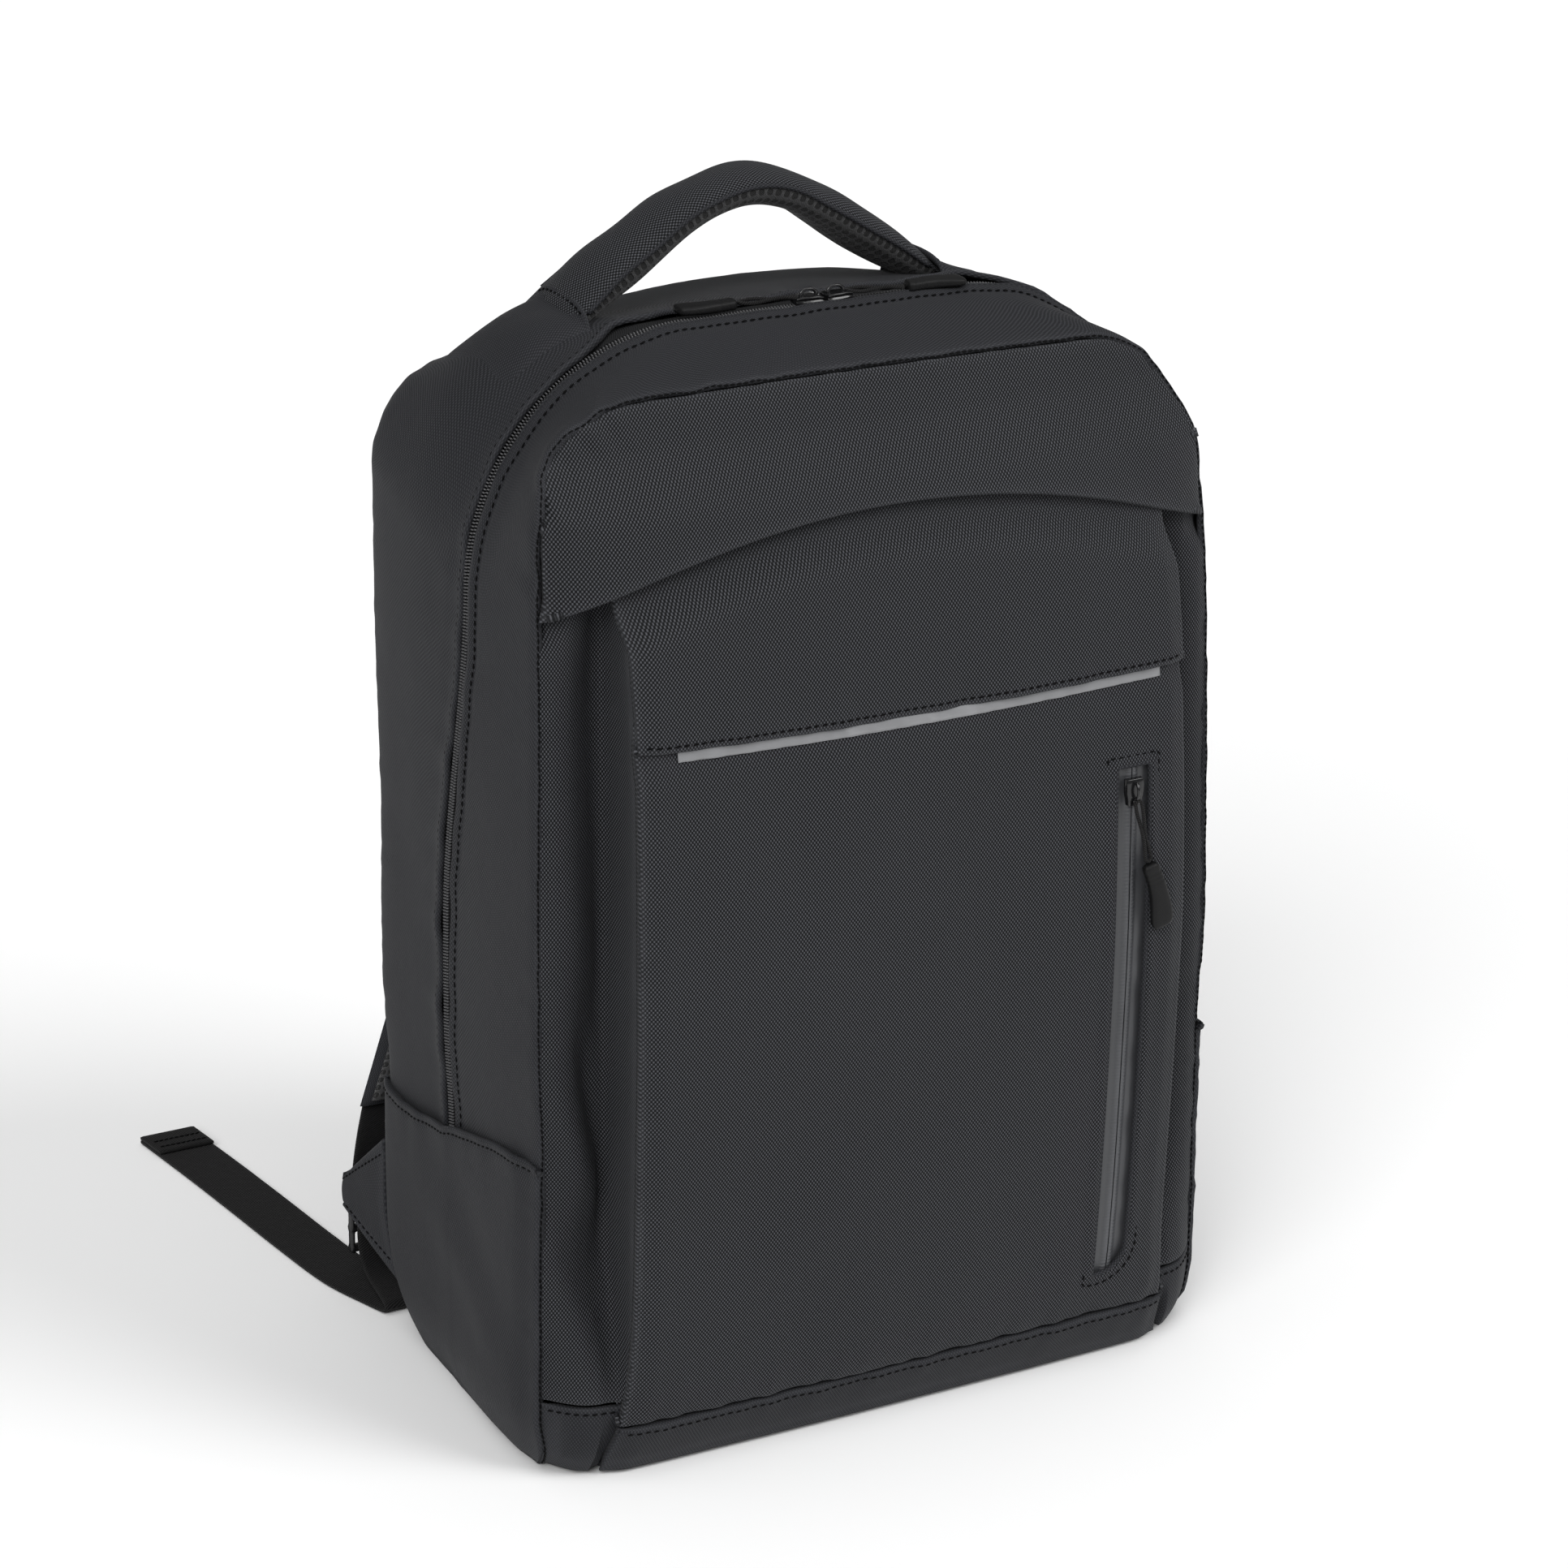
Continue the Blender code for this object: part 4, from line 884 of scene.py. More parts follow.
def makeFrontGusset():
    values = gusset
    grid = gussetGrid(wallForm["frontEdge"], 1.0)
    along, toZip = runLength(grid, 0), runLength(grid, 1)
    toSeam = toZip[:, -1:] - toZip
    x, z = grid[..., 0], grid[..., 2]
    corner = smoothStep(0.33, 0.37, z) * (1.0 - smoothStep(0.425, 0.432, z))
    relief = values["wobble"] * 0.7 * wander(grid, values["wobbleSize"], 21)
    relief += sideFolds(grid)
    relief += hemRelief(toZip, values["hemWidth"], values["hemPuff"], values["hemGroove"])
    relief += pucker(along, toSeam, *values["frontPucker"])
    relief += pucker(along, toSeam, *values["cornerPucker"]) * corner * np.where(x < 0, 1.0, 0.3)
    relief += pucker(along, toZip, *values["frontZipPucker"])
    relief += seamWave(x, z) * np.exp(-(toSeam / 0.009) ** 2)
    relief -= 0.0006 * np.exp(-(toSeam / 0.0026) ** 2)
    grid = raised(grid, relief * offFloor(z))
    clothPiece("frontWall", grid, canvasSide, ("front_gusset",), ("left", "right"), 0.0015)
    hemStitches("frontZipStitches", grid, values["hemWidth"], "left", 0, None)
    points, facing = edgeLine(grid, "right", 0.0)
    points[:, 1] -= values["seamDeep"] * 0.3
    stitchLine("frontSeamStitches", points - facing * values["seamDeep"], facing, 0.0027)


makeRearGusset()
makeFrontGusset()
print("walls made")


# low side pockets

sidePocket = {
    "rear": 0.020,
    "front": 1.0,
    "columns": 56,
    "rows": 44,
    "hemWidth": 0.0030,
    "crowded": 1.6,
    "stand": 0.0004,
    "overZip": 0.0012,
    "zipHeight": 0.12,
    "hemPucker": (0.030, 0.0004, 0.012, 33),
    "seamPucker": (0.015, 0.0003, 0.008, 34),
}


def makeSidePocket(side, word):
    values = sidePocket
    places = np.linspace(values["rear"], values["front"], values["columns"])[None, :]
    share = np.linspace(0.0, 1.0, values["rows"])[:, None]
    share = 1.0 - (1.0 - share) ** values["crowded"]  # rows crowd at the hem
    grid = sidePoint(places, mix(bag["gap"], hemHeight(places), share), side, recess=False)
    up, along = runLength(grid, 0), runLength(grid, 1)
    toHem, toFront = up[-1:] - up, along[:, -1:] - along
    chainY = depthAt(np.array(wallForm["chainPlace"]), np.array(values["zipHeight"]))
    uneven = 0.0008 * wander(grid, 0.10, 31 if side < 0 else 32)
    relief = values["stand"] + uneven * smoothStep(0.0, 0.02, toFront)
    relief += sideFolds(grid) * 0.7
    relief += hemRelief(toHem, values["hemWidth"], 0.0003, 0.0005)
    relief += values["overZip"] * np.exp(-((grid[..., 1] - chainY) / 0.012) ** 2) * np.exp(-(toHem / 0.020))
    relief += pucker(along, toHem, *values["hemPucker"])
    relief += pucker(up, toFront, *values["seamPucker"])
    relief *= offFloor(grid[..., 2])
    relief -= (values["stand"] + 0.0009) * (1.0 - smoothStep(0.0, 0.016, toFront))
    grid = raised(grid, relief)
    clothPiece("sidePocket" + word, grid, canvasSide, ("side_pocket_" + word.lower(),),
               ("high", "left", "right"), 0.0009, 0.0030)
    hemStitches("sidePocketStitches" + word, grid, values["hemWidth"])


for side, word in bothSides:
    makeSidePocket(side, word)
print("side pockets made")


# front: yoke, pocket, bands and pleats

front = {
    "seamInset": 0.0018,
    "yokeMiddle": 0.375,
    "yokeEnd": 0.345,
    "yokePuff": 0.016,
    "yokeReach": 0.141,
    "yokeShoulder": 0.76,
    "shoulderZ": 0.360,
    "split": 0.3010,
    "dome": 0.002,
    "edgeRoll": 0.003,
    "bandHeight": 0.024,
    "sideBandHeight": 0.033,
    "footLift": 0.0018,
    "hemTuck": 0.009,
    "pleatEase": 0.0018,
}

# height as a share of the yoke's height, half width and depth as shares of the bag's
pocketRows = (
    (0.000, 0.840, 0.585),
    (0.064, 0.812, 0.655),
    (0.160, 0.790, 0.688),
    (0.360, 0.788, 0.711),
    (0.560, 0.786, 0.715),
    (0.797, 0.775, 0.680),
    (0.940, 0.775, 0.610),
    (1.000, 0.775, 0.570),
)

# step, across in the fold, across at the foot, out in the fold, out at the foot
pleatRows = (
    (0.0, 0.00, 0.00, 0.00, 0.00),
    (1.0, 0.22, 0.22, 0.08, 0.30),
    (2.0, 0.45, 0.44, 0.08, 0.55),
    (3.0, 0.68, 0.64, 0.00, 0.68),
    (4.0, 0.90, 0.82, -0.10, 0.74),
    (5.0, 1.04, 0.93, -0.02, 0.77),
    (6.0, 1.10, 1.00, 0.35, 0.79),
    (7.0, 1.06, 1.06, 0.72, 0.80),
)


def seamDepth(z):
    return -depthAt(np.full_like(z, 1.0), z)


def seamHalf(z, side):
    z = np.minimum(z, front["shoulderZ"])
    return side * sidePoint(np.full_like(z, 1.0), z, side, front["seamInset"])[..., 0]


def yokeEdge(x):
    return front["yokeMiddle"] - (front["yokeMiddle"] - front["yokeEnd"]) * (x / front["yokeReach"]) ** 2


def yokePuff(across, rise):
    rise = np.clip(rise, 0.0, 1.0)
    return front["yokePuff"] * (1.0 - np.minimum(np.abs(across), 1.0) ** 8) * (1.0 - rise) ** 0.8


def yokeDepth(x, z):
    edge = yokeEdge(x)
    rise = (z - edge) / (0.970 * bag["height"] - edge)
    return seamDepth(z) + yokePuff(x / front["yokeReach"], rise)


def pocketHalf(z):
    return follow(pocketRows, z / front["yokeMiddle"])[..., 1] * bag["width"] / 2


def pocketDepth(z):
    return follow(pocketRows, z / front["yokeMiddle"])[..., 2] * bag["depth"]


def underYoke(x, z):
    above = np.maximum(z - yokeEdge(x), 0.0)
    return yokeDepth(x, z) - bag["layer"] - bag["gap"] - 0.15 * above


def pocketFace(x, z):
    across = np.minimum(np.abs(x) / pocketHalf(z), 1.0)
    face = pocketDepth(z) + front["dome"] * (1.0 - across**2)
    face = face - front["edgeRoll"] * smoothStep(0.92, 1.0, across)
    edge = yokeEdge(x)
    return mix(face, underYoke(x, z), smoothStep(edge - 0.022, edge - 0.001, z))


def panelFace(x, z):  # the lower panel slips under the upper one
    return pocketFace(x, z) - bag["layer"] * smoothStep(front["split"] - 0.016, front["split"] - 0.002, z)


def pleatPoint(step, z, side):
    row = follow(pleatRows, step)
    folded = smoothStep(0.010, 0.100, z)
    across, out = mix(row[..., 2], row[..., 1], folded), mix(row[..., 4], row[..., 3], folded)
    near, far = seamHalf(z, side), pocketHalf(z)
    x = near + (far - near) * across
    depth = seamDepth(z) + out * (pocketDepth(z) - seamDepth(z))
    edge = yokeEdge(x)
    tucked = np.minimum(depth, underYoke(x, z) - bag["layer"])
    depth = mix(depth, tucked, smoothStep(edge - 0.014, edge - 0.003, z))
    behind = np.minimum(depth, pocketFace(far, z) - bag["layer"] - front["pleatEase"])
    depth = np.where(across > 0.8, behind, depth)
    return np.stack((side * x, -depth, z), axis=-1)


yoke = {
    "columns": 150,
    "rows": 36,
    "topShare": 0.4,
    "inset": 0.0020,
    "spare": -0.0010,
    "sideDip": 0.0026,
    # puckers: wave, height, reach, seed
    "seamPucker": (0.018, 0.0003, 0.010, 42),
    "cornerPucker": (0.020, 0.0008, 0.016, 43),
    "sidePucker": (0.020, 0.0003, 0.010, 44),
}

# soft folds: start and end as x and height, width, relief
yokeFolds = (
    ((-0.125, 0.352), (-0.080, 0.395), 0.010, 0.0012),
    ((0.120, 0.352), (0.085, 0.392), 0.010, -0.0012),
)


def overTop(columns):  # from side to side along the top edge: place across, side, and rise on the wall's line
    share = np.linspace(-1.0, 1.0, columns)
    size, side = np.abs(share), np.where(share < 0, -1.0, 1.0)
    top = yoke["topShare"]
    corner, shoulder = wallForm["cornerShare"], front["yokeShoulder"]
    onCrown, onCorner = size / top, (size - top) / (1.0 - top)
    rise = np.where(size < top, mix(1.0, corner, onCrown), mix(corner, wallForm["sideShare"], onCorner))
    across = np.where(size < top, shoulder * size / top, mix(shoulder, 1.0, onCorner))
    return across * side, side, rise


def makeYoke():
    values = yoke
    across, side, rise = overTop(values["columns"])
    upper = wallPoint(1.0, rise, side, values["inset"])
    end = np.array(front["yokeEnd"])
    lowX = across * (np.where(side < 0, seamHalf(end, -1.0), seamHalf(end, 1.0)) + values["spare"])
    step = np.linspace(0.0, 1.0, values["rows"])[:, None]
    x = mix(lowX, upper[:, 0], step)
    z = mix(yokeEdge(lowX), upper[:, 2], step)
    grid = np.stack((x, -seamDepth(z) - yokePuff(across, step), z), axis=-1)
    toEdge = runLength(grid, 0)
    toTop = toEdge[-1:] - toEdge
    wave = 0.7 * seamWave(x, z) * np.exp(-(toTop / 0.005) ** 2)
    grid[..., 0] += wave * np.sign(x)
    grid[..., 2] += wave
    along = runLength(grid, 1)
    toSide = np.minimum(along, along[:, -1:] - along)
    corner = smoothStep(0.075, 0.110, np.abs(x)) * smoothStep(0.36, 0.385, z)
    relief = 0.0010 * wander(grid, 0.12, 41) * smoothStep(0.0, 0.010, toTop)
    relief += pucker(along, toTop, *values["seamPucker"])
    relief += pucker(along, toTop, *values["cornerPucker"]) * corner * np.where(x < 0, 1.0, 0.3)
    relief += pucker(toEdge, toSide, *values["sidePucker"])
    for fold in yokeFolds:
        relief += crease(grid[..., ::2], *fold)
    relief -= 0.0005 * np.exp(-(toTop / 0.0030) ** 2)
    dip = (1.0 - smoothStep(0.0, 0.0042, toSide)) ** 2 * mix(0.2, 1.0, smoothStep(0.0, 0.009, toEdge))
    relief -= values["sideDip"] * dip
    relief += 0.0004 * np.exp(-(toEdge / 0.0030) ** 2)
    clothPiece("yoke", raised(grid, relief), canvasFront, ("yoke_panel",), ("high", "low"), 0.0014,
               cut="front")


pocket = {
    "columns": 84,
    "edgeRadius": 0.0022,
    "flapHem": 0.0027,
    "bandHem": 0.0024,
    "bow": 0.0024,
    "bowEnds": 0.0006,
    "underDeep": 0.0034,
    # puckers: wave, height, reach, seed
    "panelPucker": (0.019, 0.0006, 0.009, 54),
    "flapPucker": (0.028, 0.0005, 0.012, 62),
    "bandPucker": (0.022, 0.0005, 0.008, 72),
}

# soft folds: start and end as x and height, width, relief
pocketFolds = (
    ((-0.100, 0.060), (-0.020, 0.120), 0.022, 0.0010),
    ((-0.095, 0.090), (-0.030, 0.150), 0.018, -0.0008),
    ((0.060, 0.035), (0.108, 0.080), 0.016, 0.0008),
    ((0.098, 0.270), (0.112, 0.200), 0.008, -0.0012),
)


def hemBow(x):  # the flap's hem and the strip under it hang lower in the middle
    return pocket["bowEnds"] + pocket["bow"] * (1.0 - (x / front["yokeReach"]) ** 2)


def pocketGrid(face, heights, columns):  # heights is rows by columns, or rows alone
    share = np.linspace(-1.0, 1.0, columns)[None, :]
    z = np.broadcast_to(heights, (heights.shape[0], columns))
    x = share * pocketHalf(z)
    return np.stack((x, -face(x, z), z), axis=-1)


# the upright zip's window on the right of the pocket
zipWindow = {
    "x": 0.0910,
    "width": 0.015,
    "low": 0.0445,
    "high": 0.2625,
    "round": 0.0125,
    "corner": 0.0012,
    "lip": 0.0040,
    "points": 10,
    "cutFrom": -0.13,
    "cutDeep": 0.06,
}


def windowOutline(grow=0.0):  # x and z round the window: square but for its lower right corner
    values = zipWindow
    left, right = values["x"] - values["width"] / 2 - grow, values["x"] + values["width"] / 2 + grow
    low, high = values["low"] - grow, values["high"] + grow
    outline = []
    corners = ((left, high, values["corner"], 90), (left, low, values["corner"], 180),
               (right, low, values["round"], 270), (right, high, values["corner"], 0))
    for x, z, radius, start in corners:
        radius += grow * (radius > values["corner"])
        middleX = x + radius if x < values["x"] else x - radius
        middleZ = z + radius if z < (low + high) / 2 else z - radius
        for i in range(values["points"] + 1):
            angle = math.radians(start + 90 * i / values["points"])
            outline.append((middleX + radius * math.cos(angle), middleZ + radius * math.sin(angle)))
    return np.array(outline)


def awayFromWindow(x, z):  # distance outside the window's outline, negative inside
    outline = windowOutline()
    ends = np.roll(outline, -1, axis=0)
    best = np.full(x.shape, 1.0)
    inside = np.zeros(x.shape, bool)
    for (ax, az), (bx, bz) in zip(outline, ends):
        runX, runZ = bx - ax, bz - az
        length = runX**2 + runZ**2
        if length < 1e-12:
            continue
        t = np.clip(((x - ax) * runX + (z - az) * runZ) / length, 0.0, 1.0)
        best = np.minimum(best, np.hypot(x - ax - t * runX, z - az - t * runZ))
        if az != bz:
            inside ^= ((az > z) != (bz > z)) & (x < (bx - ax) * (z - az) / (bz - az) + ax)
    return np.where(inside, -best, best)


def pocketRelief(grid, seed):
    x, z = grid[..., 0], grid[..., 2]
    across = np.abs(x) / pocketHalf(z)
    relief = 0.0010 * wander(grid, 0.15, seed) + 0.0004 * wander(grid, 0.05, seed + 1)
    for fold in pocketFolds:
        relief += crease(grid[..., ::2], *fold)
    return relief * (1.0 - 0.6 * smoothStep(0.9, 1.0, across))


def panelSpan():  # lowest and highest line of the pocket panel
    return front["bandHeight"] + bag["gap"], front["split"] + front["hemTuck"]


def makePocketPanel():
    values = pocket
    grid = pocketGrid(panelFace, np.linspace(*panelSpan(), 98)[:, None], values["columns"])
    x, z = grid[..., 0], grid[..., 2]
    away, split = awayFromWindow(x, z), front["split"]
    relief = pocketRelief(grid, 51) * smoothStep(-0.002, 0.012, away)
    relief += hemRelief(np.maximum(away, 0.0), zipWindow["lip"], 0.0007, 0.0004) * (away < 0.008)
    relief -= 0.0006 * np.exp(-((z - front["bandHeight"]) / 0.0035) ** 2)
    relief += pucker(runLength(grid, 1), z - front["bandHeight"], *values["panelPucker"])
    relief *= 1.0 - 0.8 * smoothStep(split - 0.010, split - 0.002, z)
    grid = raised(grid, relief)
    piece = clothPiece("pocketPanel", grid, canvasFront, ("pocket_panel",), ("low", "left", "right"),
                       values["edgeRadius"], 0.004, cut="front")
    cutWindow(piece)
    return grid


def cutWindow(piece):
    outline = windowOutline()
    deselect()
    bpy.ops.mesh.primitive_circle_add(vertices=len(outline), radius=0.01, fill_type="NGON")
    cutter = bpy.context.object
    places = np.stack((outline[:, 0], np.full(len(outline), zipWindow["cutFrom"]), outline[:, 1]), axis=1)
    cutter.data.vertices.foreach_set("co", places.ravel())
    cutter.data.update()
    bpy.ops.object.mode_set(mode="EDIT")
    bpy.ops.mesh.select_all(action="SELECT")
    bpy.ops.mesh.extrude_region_move(TRANSFORM_OT_translate={"value": (0.0, zipWindow["cutDeep"], 0.0)})
    bpy.ops.mesh.select_all(action="SELECT")
    bpy.ops.mesh.normals_make_consistent(inside=False)
    bpy.ops.object.mode_set(mode="OBJECT")
    addModifier(piece, "window", "BOOLEAN", operation="DIFFERENCE", solver="EXACT", object=cutter)
    applyModifiers(piece)
    bpy.data.objects.remove(cutter, do_unlink=True)


def makePocketFlap():
    values = pocket
    across = np.linspace(-1.0, 1.0, values["columns"])[None, :]
    edge = yokeEdge(across * pocketHalf(np.array(front["yokeEnd"])))
    low = front["split"] - hemBow(across * pocketHalf(np.array(front["split"])))
    heights = mix(low, edge + front["hemTuck"], np.linspace(0.0, 1.0, 34)[:, None])
    x = across * pocketHalf(heights)
    grid = np.stack((x, -pocketFace(x, heights), heights), axis=-1)
    toEdge = runLength(grid, 0)
    relief = pocketRelief(grid, 61) + pucker(runLength(grid, 1), toEdge, *values["flapPucker"])
    relief += hemRelief(toEdge, values["flapHem"], 0.0005, 0.0004)
    relief *= 1.0 - smoothStep(-0.012, 0.0, heights - edge)
    shaded = smoothStep(-0.021, -0.003, heights - edge) * (1.0 - across**6)
    relief -= values["underDeep"] * shaded * mix(1.0, 0.55, smoothStep(-0.05, 0.09, x))
    grid = raised(grid, relief)
    clothPiece("pocketFlap", grid, canvasFront, ("pocket_flap",), ("low", "left", "right"), 0.0014, 0.003,
               cut="front")
    hemStitches("flapStitches", grid, values["flapHem"], "low")


def makeFrontBand():
    heights = np.linspace(front["footLift"], front["bandHeight"] - bag["gap"], 14)[:, None]
    grid = pocketGrid(pocketFace, heights, pocket["columns"])
    toTop = runLength(grid, 0)
    toTop = toTop[-1:] - toTop
    relief = pocketRelief(grid, 71) * 0.5 + hemRelief(toTop, pocket["bandHem"], 0.0006, 0.0004)
    relief += pucker(runLength(grid, 1), toTop, *pocket["bandPucker"])
    grid = raised(grid, relief * smoothStep(-0.001, 0.006, grid[..., 2]))
    clothPiece("frontBand", grid, canvasSide, ("front_band",), ("high", "left", "right"), 0.0013, 0.003)
    hemStitches("frontBandStitches", grid, pocket["bandHem"])


def makeSideBand(side, word):
    steps = np.linspace(0.0, 7.0, 26)
    heights = np.linspace(front["footLift"], front["sideBandHeight"] - bag["ease"], 16)
    grid = pleatPoint(*np.meshgrid(steps, heights), side)
    up = runLength(grid, 0)
    grid = raised(grid, hemRelief(up[-1:] - up, pocket["bandHem"], 0.0005, 0.0003))
    clothPiece("sideBand" + word, grid, canvasSide, ("side_band_" + word.lower(),), ("high",), 0.0012)
    hemStitches("sideBandStitches" + word, grid, pocket["bandHem"], last=-3)


pleat = {
    "columns": 54,
    "rows": 112,
    "stepWidth": 0.008,
    "shown": (3.2, 4.2),
    "seamPucker": (0.016, 0.0003, 0.008, 82),  # wave, height, reach, seed
}

# soft folds: start and end as way in and height, width, relief
pleatFolds = {
    "Left": (
        ((0.004, 0.165), (0.032, 0.105), 0.008, 0.0032),
        ((0.000, 0.128), (0.026, 0.066), 0.011, -0.0026),
        ((0.022, 0.185), (0.034, 0.130), 0.006, -0.0030),
        ((0.010, 0.250), (0.030, 0.200), 0.009, 0.0010),
    ),
    "Right": (((0.002, 0.150), (0.030, 0.140), 0.009, -0.0015),),
}


def makePleat(side, word):
    values = pleat
    rows, columns = values["rows"], values["columns"]
    steps = np.broadcast_to(np.linspace(0.0, 7.0, columns)[None, :], (rows, columns))
    end = np.array(front["yokeEnd"])
    edge = yokeEdge(mix(seamHalf(end, side), pocketHalf(end), follow(pleatRows, steps)[..., 1]))
    share = np.linspace(0.0, 1.0, rows)[:, None]
    z = mix(front["sideBandHeight"] + bag["ease"], edge + front["hemTuck"], share)
    grid = pleatPoint(steps, z, side)
    inward = runLength(grid, 1)
    shown = 1.0 - smoothStep(*values["shown"], steps)
    spread = np.stack((steps * values["stepWidth"], z), axis=-1)
    relief = 0.0007 * wander(grid, 0.09, 81) * shown
    for fold in pleatFolds[word]:
        relief += crease(spread, *fold) * shown
    relief += pucker(runLength(grid, 0), inward, *values["seamPucker"])
    relief -= 0.0005 * np.exp(-(inward / 0.0030) ** 2)
    relief *= smoothStep(0.0, 0.004, np.maximum(edge - z, 0.0))
    clothPiece("pleat" + word, raised(grid, relief), canvasFront, ("side_panel_" + word.lower(),),
               ("low", "left"), 0.0014, cut="pleat")


makeYoke()
panelGrid = makePocketPanel()
makePocketFlap()
makeFrontBand()
for side, word in bothSides:
    makeSideBand(side, word)
for side, word in bothSides:
    makePleat(side, word)
print("front made")


def onPanel(x, z):  # the pocket panel's own surface at a place, relief included
    rows, columns = panelGrid.shape[:2]
    low, high = panelSpan()
    row = np.clip((z - low) / (high - low) * (rows - 1), 0, rows - 1.001)
    column = np.clip((x / pocketHalf(z) + 1.0) / 2.0 * (columns - 1), 0, columns - 1.001)
    r, c = row.astype(int), column.astype(int)
    fr, fc = (row - r)[..., None], (column - c)[..., None]
    return mix(mix(panelGrid[r, c], panelGrid[r, c + 1], fc),
               mix(panelGrid[r + 1, c], panelGrid[r + 1, c + 1], fc), fr)


# round cords and tubes

def carriedFrames(path, start=(0.0, 0.0, 1.0)):  # frames that turn as little as they can along a path
    along = unit(np.gradient(path, axis=0))
    side = np.array(start, float)
    sides = []
    for direction in along:
        side = side - direction * (side @ direction)
        side = side / max(np.linalg.norm(side), 1e-9)
        sides.append(side)
    sides = np.array(sides)
    return sides, np.cross(along, sides)


def smoothPath(points, step):  # a smooth path through the given points, evenly spaced
    points = np.asarray(points, float)
    rows = np.concatenate((np.arange(len(points))[:, None], points), axis=1)
    dense = follow(rows, np.linspace(0, len(points) - 1, 60 * len(points)))[..., 1:]
    run = pathRun(dense[:, :3])
    marks = np.linspace(0.0, run[-1], max(3, int(run[-1] / step) + 1))
    return np.stack([np.interp(marks, run, dense[:, i]) for i in range(points.shape[1])], axis=1)


def roundTube(name, path, radius, material, nodes=(), sides=10, closed=False, start=(0.0, 0.0, 1.0)):
    path = np.asarray(path, float)
    if closed:
        path = np.concatenate((path, path[:1]))
    first, second = carriedFrames(path, start)
    if closed:
        first[-1], second[-1] = first[0], second[0]
    angles = np.arange(sides) * 2 * math.pi / sides
    rings = (path[:, None] + first[:, None] * (np.cos(angles) * radius)[None, :, None]
             + second[:, None] * (np.sin(angles) * radius)[None, :, None])
    return tubePiece(name, rings, material, nodes, capped=not closed)


# main zip: tapes, chain, sliders and pulls

mainZip = {
    "sink": 0.0024,
    "tapeTuck": 0.045,
    "coilInset": 0.0006,
    "toothPitch": 0.00130,
    "toothLong": 0.0021,
    "toothThick": 0.00042,
    "toothHigh": 0.00085,
    "rowApart": 0.00115,
    "sewApart": 0.0030,
    "sewPitch": 0.0024,
    "ridge": 0.0009,
}


def zipToothSeed():
    deselect()
    bpy.ops.mesh.primitive_uv_sphere_add(segments=6, ring_count=5, radius=1.0)
    bpy.ops.transform.resize(value=(mainZip["toothThick"], mainZip["toothLong"] / 2, mainZip["toothHigh"]))


def makeMainZip():
    values = mainZip
    chain = wallForm["chainPlace"]
    spans = (("Rear", wallForm["rearEdge"] - values["tapeTuck"], chain - 0.001),
             ("Front", chain + 0.001, wallForm["frontEdge"] + values["tapeTuck"]))
    for word, start, end in spans:
        places = np.linspace(start, end, 12)[None, :]
        grid = wallPoint(places, wallRises, wallSides, values["sink"])
        towardsChain = np.exp(-np.abs(places - chain) / 0.012)
        clothPiece("zipTape" + word, raised(grid, values["ridge"] * towardsChain), tapeBlack,
                   ("main_zip_tape_" + word.lower(),), wall=0.0007)
    path, beside = (wallPoint(place, wallRises[:, 0], wallSides[:, 0], values["coilInset"])
                    for place in (chain, chain + 0.01))
    across = beside - path
    along = unit(np.gradient(path, axis=0))
    out = unit(np.cross(along, unit(across)))
    out *= np.sign(np.sum(out * (path - np.array(bag["middle"])), axis=1))[:, None]
    path, out = path[2:-2], out[2:-2]
    rows = []
    for shift, start in ((-1.0, 0.0), (1.0, values["toothPitch"] / 2)):
        centres, facing = evenly(path, values["toothPitch"], start, (out,))
        run, wide, up = pathFrames(centres, unit(facing))
        rows.append((centres + wide * shift * values["rowApart"], run, wide, up))
    joined = [np.concatenate(parts) for parts in zip(*rows)]
    copiesPiece("zipTeeth", zipToothSeed, *joined, coilNylon, ("main_zip_coil",))
    run, wide, up = pathFrames(path, out)
    for shift, word in ((-1.0, "Rear"), (1.0, "Front")):
        line = path + wide * shift * values["sewApart"] - up * 0.0004
        stitchLine("zipSewing" + word, line, up, values["sewPitch"])


slider = {
    "length": 0.011,
    "width": 0.0075,
    "high": 0.0028,
    "waist": 0.72,
    "ring": 0.0026,
    "ringThick": 0.00075,
    "ringLong": 1.25,
    "ringFlat": 0.85,
    "slot": 0.82,
    "nose": 0.15,
    "rounding": 0.0004,
}


